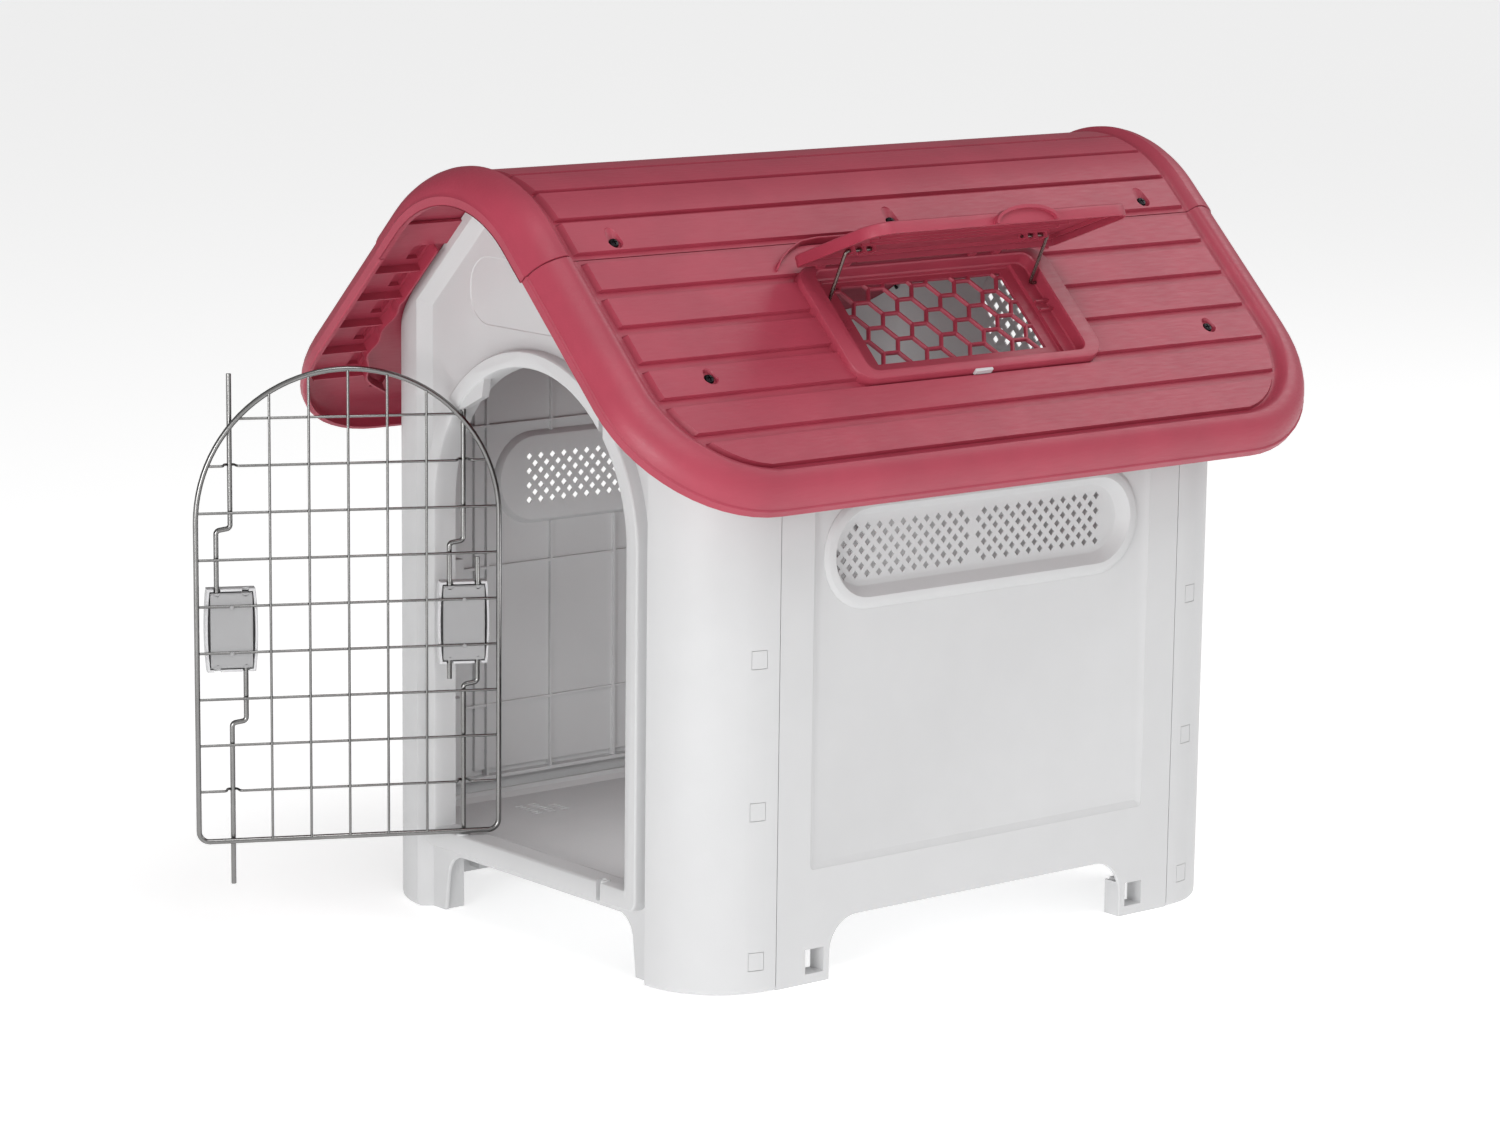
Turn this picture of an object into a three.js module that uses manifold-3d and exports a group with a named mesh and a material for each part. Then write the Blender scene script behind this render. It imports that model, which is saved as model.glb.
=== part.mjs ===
// A small plastic pet house on four feet: moulded walls, a three-piece gabled roof with a
// propped skylight lid, and a welded wire door with two spring-rod latches.
// Millimetres, +Z up. Before the last shift, X = Y = 0 is the middle of the house, the door
// is on the -Y side, the roof ridge runs along Y, and Z = 0 is the ground.
import * as THREE from "three";
import { mergeVertices } from "three/addons/utils/BufferGeometryUtils.js";
import Module from "manifold-3d";

const wasm = await Module();
wasm.setup();

// ---------------------------------------------------------------- driving dimensions
const gap = 0.4;                    // running and assembly gap between touching pieces
const skin = 3;                     // wall thickness of the mouldings
const degrees = Math.PI / 180;

const wall = {
  halfWidth: 233, frontY: 300, seamY: 222, cornerRadius: 75,
  faceRecess: 11, columnEdgeX: 159.4, bevelWidth: 8,
};
const feet = { archTop: 51, frontInnerX: 135.5, sideInnerY: 164.5, arcRadius: 22 };
const slot = { y0: 171, y1: 190.5, z0: 8, z1: 28.6 };
const clip = { y: 241, width: 13.5, height: 15, heights: [27, 151.5, 276.5] };
const opening = { halfWidth: 133, arcZ: 356.5, sillZ: 75.5, borderHalf: 146 };
const jamb = { frontY: 300.5, backY: 279 };
const vent = { centreZ: 352, halfLength: 174, halfHeight: 46, screenHalf: 157, screenHeight: 27, depth: 9 };
const sidePanel = { halfLength: 188, bottomZ: 96, depth: 2.5 };
const tray = { halfX: 224, halfY: 276, z0: 62, z1: 66, rimTop: 74, corner: 66 };

// roof, in slope coordinates: s runs down the slope, n is the distance out from it
const roof = {
  angle: 44 * degrees, plankN: 507.5, ridgeRadius: 134,
  seamS: -329.2, grooveS: -108, grooveY: 340, underN: 501,
};
const wallTopN = roof.underN - gap;
const plank = { firstBottomS: -294.5, pitch: 36.7, width: 29.5, halfLength: 332, depth: 4 };
// rim sections from the lip up to the crest: level n, reach down the slope, reach along Y, corner
const rimOuter = [
  { n: 481, s: -79.4, y: 379, r: 118 },
  { n: 489, s: -78.4, y: 380, r: 119 },
  { n: 499, s: -81.5, y: 375.5, r: 116 },
  { n: 506, s: -88, y: 366, r: 110 },
  { n: 509.5, s: -97, y: 354, r: 100 },
];
const lapS = -355;
const roofScrew = { slopeS: -200.5, slopeY: 276.6, capS: -343, capY: 293.2 };

const frame = {
  s0: -299, s1: -178, halfY: 138, topN: 513, corner: 22,
  innerS0: -291.5, innerS1: -187, innerY: 119.5, innerCorner: 8,
  ledgeN: 500.8, floorY: 106, floorN: 495, bottomN: 491,
};
const hex = { pitch: 26.4, bar: 4.4, halfY: 92, rowS: -256.5, s0: -282, s1: -203 };
const lid = {
  hingeS: -297, hingeN: 518, openAngle: 64 * degrees,
  a0: -3, a1: 111, halfY: 143.5, topB: 6, plateB: 3, skirtB: -4.4, skirt: 3, corner: 22,
};
const knuckle = { radius: 4, centres: [-97.5, 69.5], halfLength: 18, middleHalf: 9 };
const prop = { a: 34, wire: 1.5, length: 48.03, planeY: 112, footReach: 6, pinReach: 13, angle: -135.68 * degrees };

const door = {
  hingeX: -98.5, hingeY: -295, openAngle: -116 * degrees, gridY: 5.8,
  radius: 128, wire: 2.4, arcZ: 352, bottomZ: 80, corner: 10,
  barPitch: 33, bars: 5, rowPitch: 39.6, rows: 9, rowZ: 123, thin: 2.2,
};
const latch = { offsets: [0, 197], centreZ: 260.5, width: 42, height: 71, depth: 13, lane: 12, rod: 2.1 };
const rodZ = {
  upper: { tip: 477, jog: 347, tail: 228 },
  lower: { tip: 41.6, jog: 180.5, tail: 290.5 },
};
const springRadius = 3.2;
const seatedShift = { upper: -16, lower: 26 };   // how far the hinge-side rods sit pushed in

// ---------------------------------------------------------------- materials
function plastic(colour, roughness) {
  return new THREE.MeshStandardMaterial({ color: colour, roughness, metalness: 0 });
}
const shellGrey = plastic(0xd9d9da, 0.55);
const roofRed = plastic(0xa23a4c, 0.6);
const latchWhite = plastic(0xe6e6e6, 0.5);
const latchGrey = plastic(0x9c9c9e, 0.5);
const zinc = new THREE.MeshStandardMaterial({ color: 0x9b9b9b, roughness: 0.35, metalness: 1 });
const darkSteel = new THREE.MeshStandardMaterial({ color: 0x3a3636, roughness: 0.4, metalness: 1 });
const blackSteel = new THREE.MeshStandardMaterial({ color: 0x1c1c1e, roughness: 0.45, metalness: 1 });

// ---------------------------------------------------------------- solids
function solid(geometry) {
  const bare = geometry.clone();
  bare.deleteAttribute("normal");
  bare.deleteAttribute("uv");
  const merged = mergeVertices(bare, 1e-4);
  return new wasm.Manifold(new wasm.Mesh({
    numProp: 3,
    vertProperties: new Float32Array(merged.attributes.position.array),
    triVerts: new Uint32Array(merged.index.array),
  }));
}

function toGeometry(manifold) {
  const mesh = manifold.getMesh();
  const geometry = new THREE.BufferGeometry();
  geometry.setAttribute("position", new THREE.BufferAttribute(mesh.vertProperties, 3));
  geometry.setIndex(new THREE.BufferAttribute(mesh.triVerts, 1));
  return geometry;
}

function outline(points) {
  const shape = new THREE.Shape();
  shape.setFromPoints(points.map(([a, b]) => new THREE.Vector2(a, b)));
  return shape;
}

// Extrudes a shape from h0 to h1 along the third axis of the given basis.
function extruded(shape, h0, h1, basis, curveSegments = 6) {
  const geometry = new THREE.ExtrudeGeometry(shape, { depth: h1 - h0, bevelEnabled: false, curveSegments });
  geometry.translate(0, 0, h0);
  geometry.applyMatrix4(basis);
  return solid(geometry);
}

const unitX = new THREE.Vector3(1, 0, 0);
const unitY = new THREE.Vector3(0, 1, 0);
const unitZ = new THREE.Vector3(0, 0, 1);
const alongZ = new THREE.Matrix4();
const alongX = new THREE.Matrix4().makeBasis(unitY, unitZ, unitX);
// shapes drawn in X and Z, with heights counted along -Y
const alongMinusY = new THREE.Matrix4().makeBasis(unitX, unitZ, unitY.clone().negate());
const downSlope = new THREE.Vector3(Math.cos(roof.angle), 0, -Math.sin(roof.angle));
const outOfSlope = new THREE.Vector3(Math.sin(roof.angle), 0, Math.cos(roof.angle));
const alongSlope = new THREE.Matrix4().makeBasis(downSlope, unitY, outOfSlope);

function box(x0, x1, y0, y1, z0, z1) {
  const geometry = new THREE.BoxGeometry(x1 - x0, y1 - y0, z1 - z0);
  geometry.translate((x0 + x1) / 2, (y0 + y1) / 2, (z0 + z1) / 2);
  return solid(geometry);
}

function cylinder(radius, length, sides, centre, direction) {
  const geometry = new THREE.CylinderGeometry(radius, radius, length, sides);
  const turn = new THREE.Quaternion().setFromUnitVectors(unitY, direction.clone().normalize());
  geometry.applyQuaternion(turn);
  geometry.translate(centre.x, centre.y, centre.z);
  return solid(geometry);
}

function roundedRectangle(x0, x1, y0, y1, radii) {
  const [bottomLeft, bottomRight, topRight, topLeft] = radii;
  const shape = new THREE.Shape();
  shape.moveTo(x0 + bottomLeft, y0);
  shape.lineTo(x1 - bottomRight, y0);
  if (bottomRight) shape.absarc(x1 - bottomRight, y0 + bottomRight, bottomRight, -Math.PI / 2, 0);
  shape.lineTo(x1, y1 - topRight);
  if (topRight) shape.absarc(x1 - topRight, y1 - topRight, topRight, 0, Math.PI / 2);
  shape.lineTo(x0 + topLeft, y1);
  if (topLeft) shape.absarc(x0 + topLeft, y1 - topLeft, topLeft, Math.PI / 2, Math.PI);
  shape.lineTo(x0, y0 + bottomLeft);
  if (bottomLeft) shape.absarc(x0 + bottomLeft, y0 + bottomLeft, bottomLeft, Math.PI, 1.5 * Math.PI);
  return shape;
}

// Joins closed rings of equal length into one closed body, capped at both ends.
function loft(sections, flatten) {
  const clockwise = THREE.ShapeUtils.area(sections[0].map(flatten)) < 0;
  const rings = sections.map((section) => (clockwise ? section.slice().reverse() : section));
  const count = rings[0].length;
  const positions = rings.flat().flatMap((point) => [point.x, point.y, point.z]);
  const index = [];
  for (let ring = 0; ring + 1 < rings.length; ring += 1) {
    for (let k = 0; k < count; k += 1) {
      const a = ring * count + k;
      const b = ring * count + (k + 1) % count;
      index.push(a, b, b + count, a, b + count, a + count);
    }
  }
  const last = (rings.length - 1) * count;
  for (const [a, b, c] of THREE.ShapeUtils.triangulateShape(rings[0].map(flatten), [])) index.push(c, b, a);
  for (const [a, b, c] of THREE.ShapeUtils.triangulateShape(rings[rings.length - 1].map(flatten), [])) {
    index.push(last + a, last + b, last + c);
  }
  const geometry = new THREE.BufferGeometry();
  geometry.setAttribute("position", new THREE.BufferAttribute(new Float32Array(positions), 3));
  geometry.setIndex(index);
  return solid(geometry);
}

function slopePoint(s, y, n) {
  return new THREE.Vector3()
    .addScaledVector(downSlope, s)
    .addScaledVector(unitY, y)
    .addScaledVector(outOfSlope, n);
}

// The half-space under both slopes, down from level n: what a wall may fill.
function underRoof(n) {
  const ridgeZ = n / Math.cos(roof.angle);
  const reach = wall.halfWidth + 40;
  const eaveZ = ridgeZ - reach * Math.tan(roof.angle);
  const shape = outline([[-reach, -10], [reach, -10], [reach, eaveZ], [0, ridgeZ], [-reach, eaveZ]]);
  return extruded(shape, -400, 400, alongMinusY);
}

// Limits anything to the rounded underside of the ridge cap as well.
function underRidge() {
  const radius = roof.ridgeRadius - (roof.plankN - roof.underN) - gap - 1;
  const centreZ = ridgeCentreZ();
  const shape = new THREE.Shape();
  const edge = radius * Math.sin(roof.angle);
  shape.moveTo(-edge, -10);
  shape.lineTo(edge, -10);
  shape.absarc(0, centreZ, radius, Math.PI / 2 - roof.angle, Math.PI / 2 + roof.angle);
  shape.lineTo(-edge, -10);
  const middle = extruded(shape, -400, 400, alongMinusY, 10);
  const reach = wall.halfWidth + 60;
  return middle.add(box(-reach, -edge, -400, 400, -10, 700)).add(box(edge, reach, -400, 400, -10, 700));
}

function ridgeCentreZ() {
  return roof.plankN / Math.cos(roof.angle) - roof.ridgeRadius / Math.cos(roof.angle);
}

// ---------------------------------------------------------------- walls
// The half plan of an end panel, from its seam round the corner and across the recessed face.
function endPlan(inset) {
  const seam = -wall.seamY - gap / 2;
  const centreX = wall.halfWidth - wall.cornerRadius;
  const centreY = -(wall.frontY - wall.cornerRadius);
  const radius = wall.cornerRadius - inset;
  const shift = inset > 0 ? 2 : 0;
  const points = [[wall.halfWidth - inset, seam]];
  // the arc stops where it meets the flat front of the column
  const steps = 7;
  for (let k = 0; k < steps; k += 1) {
    const angle = -(k / steps) * Math.PI / 2;
    points.push([centreX + radius * Math.cos(angle), centreY + radius * Math.sin(angle)]);
  }
  points.push([wall.columnEdgeX - shift, -wall.frontY + inset]);
  points.push([wall.columnEdgeX - wall.bevelWidth - shift, -wall.frontY + wall.faceRecess + inset]);
  return points;
}

function endFilled(inset) {
  const half = endPlan(inset);
  return extruded(outline([...half, ...half.map(([x, y]) => [-x, y]).reverse()]), -5, 690, alongZ);
}

function endShell() {
  return endFilled(0).subtract(endFilled(skin).translate([0, 0.5, 0]).add(
    box(-wall.halfWidth + skin, wall.halfWidth - skin, -wall.seamY - 1, -wall.seamY + 20, -10, 700),
  )).intersect(box(-400, 400, -400, 0, 0, 690));
}

function feetCut(halfGap, top, radius) {
  const shape = new THREE.Shape();
  shape.moveTo(-halfGap, -5);
  shape.lineTo(halfGap, -5);
  shape.lineTo(halfGap - 2, top - radius);
  shape.absarc(halfGap - 2 - radius, top - radius, radius, 0, Math.PI / 2);
  shape.lineTo(-halfGap + 2 + radius, top);
  shape.absarc(-halfGap + 2 + radius, top - radius, radius, Math.PI / 2, Math.PI);
  shape.lineTo(-halfGap, -5);
  return shape;
}

function archShape(halfWidth, bottom, arcZ) {
  const shape = new THREE.Shape();
  shape.moveTo(-halfWidth, bottom);
  shape.lineTo(halfWidth, bottom);
  shape.absarc(0, arcZ, halfWidth, 0, Math.PI);
  shape.lineTo(-halfWidth, bottom);
  return shape;
}

// A proud band that follows both slopes of the gable.
function gableBand() {
  const ends = wall.frontY;
  const face = extruded(outline([
    [-wall.columnEdgeX, 0], [wall.columnEdgeX, 0], [wall.columnEdgeX, 690], [-wall.columnEdgeX, 690],
  ]), ends - wall.faceRecess - 0.5, ends, alongMinusY);
  return face.subtract(underRoof(wallTopN - 10));
}

// Inner return of each foot, so that a foot is a box section and not a single skin.
function footReturns(depth) {
  const x0 = feet.frontInnerX;
  const right = box(x0, x0 + skin, -wall.frontY + wall.faceRecess, -wall.frontY + depth, 0, feet.archTop + 9);
  const left = box(-x0 - skin, -x0, -wall.frontY + wall.faceRecess, -wall.frontY + depth, 0, feet.archTop + 9);
  return right.add(left);
}

function roofBosses() {
  const at = slopePoint(roofScrew.slopeS, 0, roof.underN);
  let bosses = null;
  for (const side of [-1, 1]) {
    const x = side * at.x;
    const boss = box(x - 9, x + 9, -wall.frontY, -roofScrew.slopeY + 9, at.z - 40, at.z + 20);
    bosses = bosses ? bosses.add(boss) : boss;
  }
  return bosses.intersect(endFilled(1));
}

function screwHoles(radius, n0, n1) {
  const places = [
    [roofScrew.slopeS, -roofScrew.slopeY], [roofScrew.slopeS, roofScrew.slopeY],
    [roofScrew.capS, -roofScrew.capY], [roofScrew.capS, roofScrew.capY],
  ];
  let holes = null;
  for (const [s, y] of places) {
    for (const side of [1, -1]) {
      const middle = slopePoint(s, y, (n0 + n1) / 2);
      const direction = outOfSlope.clone();
      middle.x *= side;
      direction.x *= side;
      const hole = cylinder(radius, n1 - n0, 8, middle, direction);
      holes = holes ? holes.add(hole) : hole;
    }
  }
  return holes;
}

function clipWindows() {
  let windows = null;
  for (const side of [-1, 1]) {
    for (const z of clip.heights) {
      const half = [clip.width / 2 + gap, clip.height / 2 + gap];
      const x = side * wall.halfWidth;
      const cut = box(x - 16, x + 10, -clip.y - half[0], -clip.y + half[0], z - half[1], z + half[1]);
      windows = windows ? windows.add(cut) : cut;
    }
  }
  return windows;
}

function endPanel(hasDoorway) {
  let panel = endShell();
  panel = panel.add(gableBand());
  panel = panel.subtract(extruded(feetCut(feet.frontInnerX, feet.archTop, feet.arcRadius), 200, 400, alongMinusY));
  panel = panel.add(footReturns(29));
  panel = panel.add(roofBosses());
  if (hasDoorway) {
    const outer = archShape(opening.borderHalf, 59, opening.arcZ);
    const inner = archShape(opening.halfWidth, opening.sillZ, opening.arcZ);
    const ring = extruded(outer, jamb.backY, jamb.frontY, alongMinusY, 9);
    const pocketOuter = archShape(opening.borderHalf - skin, 59 + skin, opening.arcZ);
    const liner = archShape(opening.halfWidth + skin, opening.sillZ - skin, opening.arcZ);
    const pocket = extruded(pocketOuter, jamb.backY - 5, jamb.frontY - skin, alongMinusY, 9)
      .subtract(extruded(liner, jamb.backY - 10, jamb.frontY, alongMinusY, 9));
    panel = panel.add(ring).subtract(pocket);
    panel = panel.subtract(extruded(inner, 200, 400, alongMinusY, 9));
    panel = panel.subtract(rodSockets());
  }
  panel = panel.intersect(underRoof(wallTopN)).intersect(underRidge()).subtract(lapRoom());
  panel = panel.subtract(screwHoles(1.6, 470, 520));
  return panel.subtract(clipWindows());
}

// Room for the roof panels' lap tongues, on both slopes.
function lapRoom() {
  const right = slopeBlock(lapS - 2, roof.seamS + 22, -400, 400, roof.underN - 4.4, roof.underN + 5);
  return right.add(right.mirror([1, 0, 0]));
}

// Holes in the sill and arch for the hinge-side rods, and notches open to the front for the
// free-side rods, so that the door swings home with its rods out.
function rodSockets() {
  const radius = latch.rod + 0.5;
  const arcTop = opening.arcZ + 130;
  const y = door.hingeY;
  const low = box(door.hingeX - radius, door.hingeX + radius, y - radius, y + radius, 30, opening.sillZ + 5);
  const high = box(door.hingeX - radius, door.hingeX + radius, y - radius, y + radius, opening.arcZ + 60, arcTop);
  const freeX = door.hingeX + latch.offsets[1];
  const reach = radius + 3;
  const freeLow = box(freeX - reach, freeX + radius, -jamb.frontY - 5, y + radius, 30, opening.sillZ + 5);
  const freeHigh = box(freeX - reach, freeX + radius, -jamb.frontY - 5, y + radius, opening.arcZ + 60, arcTop);
  return low.add(high).add(freeLow).add(freeHigh);
}

function sideWall() {
  const x1 = wall.halfWidth;
  const x0 = x1 - skin;
  const end = wall.seamY - gap / 2;
  let panel = box(x0, x1, -end, end, 0, 560);
  panel = panel.subtract(extruded(feetCut(feet.sideInnerY, feet.archTop, feet.arcRadius), 200, 250, alongX));
  panel = panel.add(box(x0 - 6, x0 + 1, -feet.sideInnerY + 40, feet.sideInnerY - 40, 54, tray.z0 - gap));
  const recess = sidePanel.depth;
  const half = sidePanel.halfLength;
  panel = panel.subtract(box(x1 - recess, x1 + 5, -half, half, sidePanel.bottomZ, 462));
  panel = panel.add(box(x0 - recess, x0 + 0.5, -half + 3, half - 3, sidePanel.bottomZ + 3, 459));
  // the vent: a proud oval ring with a sunk screen
  const ring = stadium(vent.halfLength, vent.halfHeight);
  panel = panel.add(extruded(ring, x1 - skin - recess, x1 + 0.6, alongX, 8));
  const bowl = stadium(vent.screenHalf + skin, vent.screenHeight + skin);
  panel = panel.add(extruded(bowl, x1 - vent.depth - skin, x1, alongX, 8));
  panel = panel.subtract(extruded(stadium(vent.screenHalf, vent.screenHeight), x1 - vent.depth, x1 + 5, alongX, 8));
  for (const sign of [-1, 1]) {
    const a = sign * slot.y0;
    const b = sign * slot.y1;
    panel = panel.subtract(box(x0 - 2, x1 + 2, Math.min(a, b), Math.max(a, b), slot.z0, slot.z1));
    for (const z of clip.heights) panel = panel.add(clipTongue(sign, z));
  }
  return panel.intersect(underRoof(wallTopN));
}

// A tongue that reaches behind the end panel and shows as a square in its window.
function clipTongue(sign, z) {
  const x = wall.halfWidth;
  const inner = [wall.seamY - 14, clip.y + clip.width / 2];
  const ys = inner.map((y) => sign * y).sort((a, b) => a - b);
  const tongue = box(x - 15, x - 10.5, ys[0], ys[1], z - 11, z + 11);
  const root = [wall.seamY - 14, wall.seamY - 5].map((y) => sign * y).sort((a, b) => a - b);
  const web = box(x - 15, x - skin + 1, root[0], root[1], z - 11, z + 11);
  const pad = [clip.y - clip.width / 2, clip.y + clip.width / 2].map((y) => sign * y).sort((a, b) => a - b);
  const button = box(x - 12, x - 1.8, pad[0], pad[1], z - clip.height / 2, z + clip.height / 2);
  return tongue.add(web).add(button);
}

function stadium(halfLength, halfHeight) {
  const reach = halfLength - halfHeight;
  const shape = new THREE.Shape();
  shape.moveTo(-reach, vent.centreZ - halfHeight);
  shape.lineTo(reach, vent.centreZ - halfHeight);
  shape.absarc(reach, vent.centreZ, halfHeight, -Math.PI / 2, Math.PI / 2);
  shape.lineTo(-reach, vent.centreZ + halfHeight);
  shape.absarc(-reach, vent.centreZ, halfHeight, Math.PI / 2, 1.5 * Math.PI);
  return shape;
}

function floorTray() {
  const { halfX, halfY, corner } = tray;
  const corners = [corner, corner, corner, corner];
  const plate = extruded(roundedRectangle(-halfX, halfX, -halfY, halfY, corners), tray.z0, tray.rimTop, alongZ, 5);
  const inside = corners.map((value) => value - 3);
  const hollow = roundedRectangle(-halfX + 3, halfX - 3, -halfY + 3, halfY - 3, inside);
  return plate.subtract(extruded(hollow, tray.z1, tray.rimTop + 5, alongZ, 5));
}

// ---------------------------------------------------------------- roof
function rimRing({ n, s, y, r }, inset) {
  const points = [];
  const end = s - inset;
  const half = y - inset;
  const radius = r - inset;
  points.push(slopePoint(roof.seamS, half, n), slopePoint(roof.seamS, -half, n));
  const steps = 7;
  for (let k = 0; k <= steps; k += 1) {
    const angle = (k / steps - 1) * Math.PI / 2;
    points.push(slopePoint(end - radius + radius * Math.cos(angle), -half + radius + radius * Math.sin(angle), n));
  }
  for (let k = 0; k <= steps; k += 1) {
    const angle = k / steps * Math.PI / 2;
    points.push(slopePoint(end - radius + radius * Math.cos(angle), half - radius + radius * Math.sin(angle), n));
  }
  return points;
}

function onSlope(point) {
  return new THREE.Vector2(point.dot(downSlope), point.y);
}

function plankStrip(index) {
  const bottom = plank.firstBottomS + index * plank.pitch;
  const top = bottom - plank.width;
  const shorter = [0, 0, 0, 0, 14, 70][index];
  const topShorter = [0, 0, 0, 0, 0, 22][index];
  const half = plank.halfLength;
  const shape = outline([
    [top, -half + topShorter], [bottom, -half + shorter],
    [bottom, half - shorter], [top, half - topShorter],
  ]);
  return extruded(shape, roof.plankN - plank.depth - 1, roof.plankN, alongSlope);
}

function roofPanel() {
  const outer = loft(rimOuter.map((ring) => rimRing(ring, 0)), onSlope);
  const hollowRings = [
    { ...rimOuter[0], n: 479 },
    rimOuter[1],
    { ...rimOuter[2], n: 496 },
    { ...rimOuter[3], n: roof.underN },
  ];
  const hollow = loft(hollowRings.map((ring) => {
    const points = rimRing(ring, skin);
    points[0].addScaledVector(downSlope, -5);
    points[1].addScaledVector(downSlope, -5);
    return points;
  }), onSlope);
  let panel = outer.subtract(hollow);
  const dish = roundedRectangle(roof.seamS - 5, roof.grooveS, -roof.grooveY, roof.grooveY, [0, 84, 84, 0]);
  panel = panel.subtract(extruded(dish, roof.plankN - plank.depth, roof.plankN + 10, alongSlope));
  for (let index = 0; index < 6; index += 1) panel = panel.add(plankStrip(index));
  const lapTop = roof.underN - gap;
  const lapShape = outline([
    [lapS, -roof.grooveY + 8], [roof.seamS + 20, -roof.grooveY + 8],
    [roof.seamS + 20, roof.grooveY - 8], [lapS, roof.grooveY - 8],
  ]);
  panel = panel.add(extruded(lapShape, lapTop - 3, lapTop, alongSlope));
  panel = panel.add(extruded(outline([
    [roof.seamS, -roof.grooveY + 8], [roof.seamS + 20, -roof.grooveY + 8],
    [roof.seamS + 20, roof.grooveY - 8], [roof.seamS, roof.grooveY - 8],
  ]), lapTop - 1, roof.underN + 1, alongSlope));
  for (const sign of [-1, 1]) {
    const y = sign * roofScrew.slopeY;
    panel = panel.subtract(slopeCylinder(roofScrew.slopeS, y, 2.3, 480, 520));
    panel = panel.subtract(slopeCylinder(roofScrew.slopeS, y, 8, 504.2, 520));
    panel = panel.subtract(slopeCylinder(roofScrew.capS, sign * roofScrew.capY, 2.3, 480, 505));
  }
  return panel.subtract(slopeCylinder(roofScrew.capS, 0, 2.3, 480, 505));
}

function slopeCylinder(s, y, radius, n0, n1, sides = 8) {
  return cylinder(radius, n1 - n0, sides, slopePoint(s, y, (n0 + n1) / 2), outOfSlope);
}

function slopeBlock(s0, s1, y0, y1, n0, n1) {
  return extruded(outline([[s0, y0], [s1, y0], [s1, y1], [s0, y1]]), n0, n1, alongSlope);
}

// One point of the cap's cross-section, offset out from the plank surface.
function capProfile(offset) {
  const points = [];
  const steps = 8;
  const radius = roof.ridgeRadius + offset;
  const n = roof.plankN + offset;
  points.push(slopePoint(roof.seamS - gap, 0, n));
  for (let k = 0; k <= steps; k += 1) {
    const angle = roof.angle * (1 - 2 * k / steps);
    points.push(new THREE.Vector3(radius * Math.sin(angle), 0, ridgeCentreZ() + radius * Math.cos(angle)));
  }
  const left = slopePoint(roof.seamS - gap, 0, n);
  left.x *= -1;
  points.push(left);
  return points;
}

function ridgeCap() {
  const under = roof.underN - roof.plankN;
  const stations = [
    [-380, -18.5, -26.5], [-376, -8.9, -26.5], [-375.9, -8.7, -13.5], [-366, -1.5, under - 1], [-354, 2, under],
    [-340, 0, under], [340, 0, under],
    [354, 2, under], [366, -1.5, under - 1], [375.9, -8.7, -13.5], [376, -8.9, -26.5], [380, -18.5, -26.5],
  ];
  const rings = stations.map(([y, out, inn]) => {
    const ring = [...capProfile(out), ...capProfile(inn).reverse()];
    return ring.map((point) => new THREE.Vector3(point.x, y, point.z));
  });
  let cap = loft(rings, (point) => new THREE.Vector2(point.z, point.x));
  for (const side of [1, -1]) {
    for (const y of [-roofScrew.capY, 0, roofScrew.capY]) {
      const tools = [[2.3, 480, 520], [6, 504, 520]];
      for (const [radius, n0, n1] of tools) {
        const middle = slopePoint(roofScrew.capS, y, (n0 + n1) / 2);
        const direction = outOfSlope.clone();
        middle.x *= side;
        direction.x *= side;
        cap = cap.subtract(cylinder(radius, n1 - n0, 8, middle, direction));
      }
    }
  }
  return cap;
}

// ---------------------------------------------------------------- skylight
function hexGrille() {
  const across = hex.pitch - hex.bar;
  const columnPitch = hex.pitch * Math.cos(30 * degrees);
  let holes = null;
  for (let column = -4; column <= 4; column += 1) {
    for (let row = -3; row <= 3; row += 1) {
      const s = hex.rowS + (row + (column % 2 === 0 ? 0.5 : 0)) * hex.pitch;
      const centre = slopePoint(s, column * columnPitch, frame.floorN - 2);
      const geometry = new THREE.CylinderGeometry(across / Math.sqrt(3), across / Math.sqrt(3), 12, 6);
      const basis = new THREE.Matrix4().makeBasis(unitY, outOfSlope, downSlope);
      geometry.rotateY(Math.PI / 2);
      geometry.applyMatrix4(basis);
      geometry.translate(centre.x, centre.y, centre.z);
      holes = holes ? holes.add(solid(geometry)) : solid(geometry);
    }
  }
  const window = slopeBlock(hex.s0, hex.s1, -hex.halfY, hex.halfY, 480, 505);
  return holes.intersect(window);
}

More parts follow.
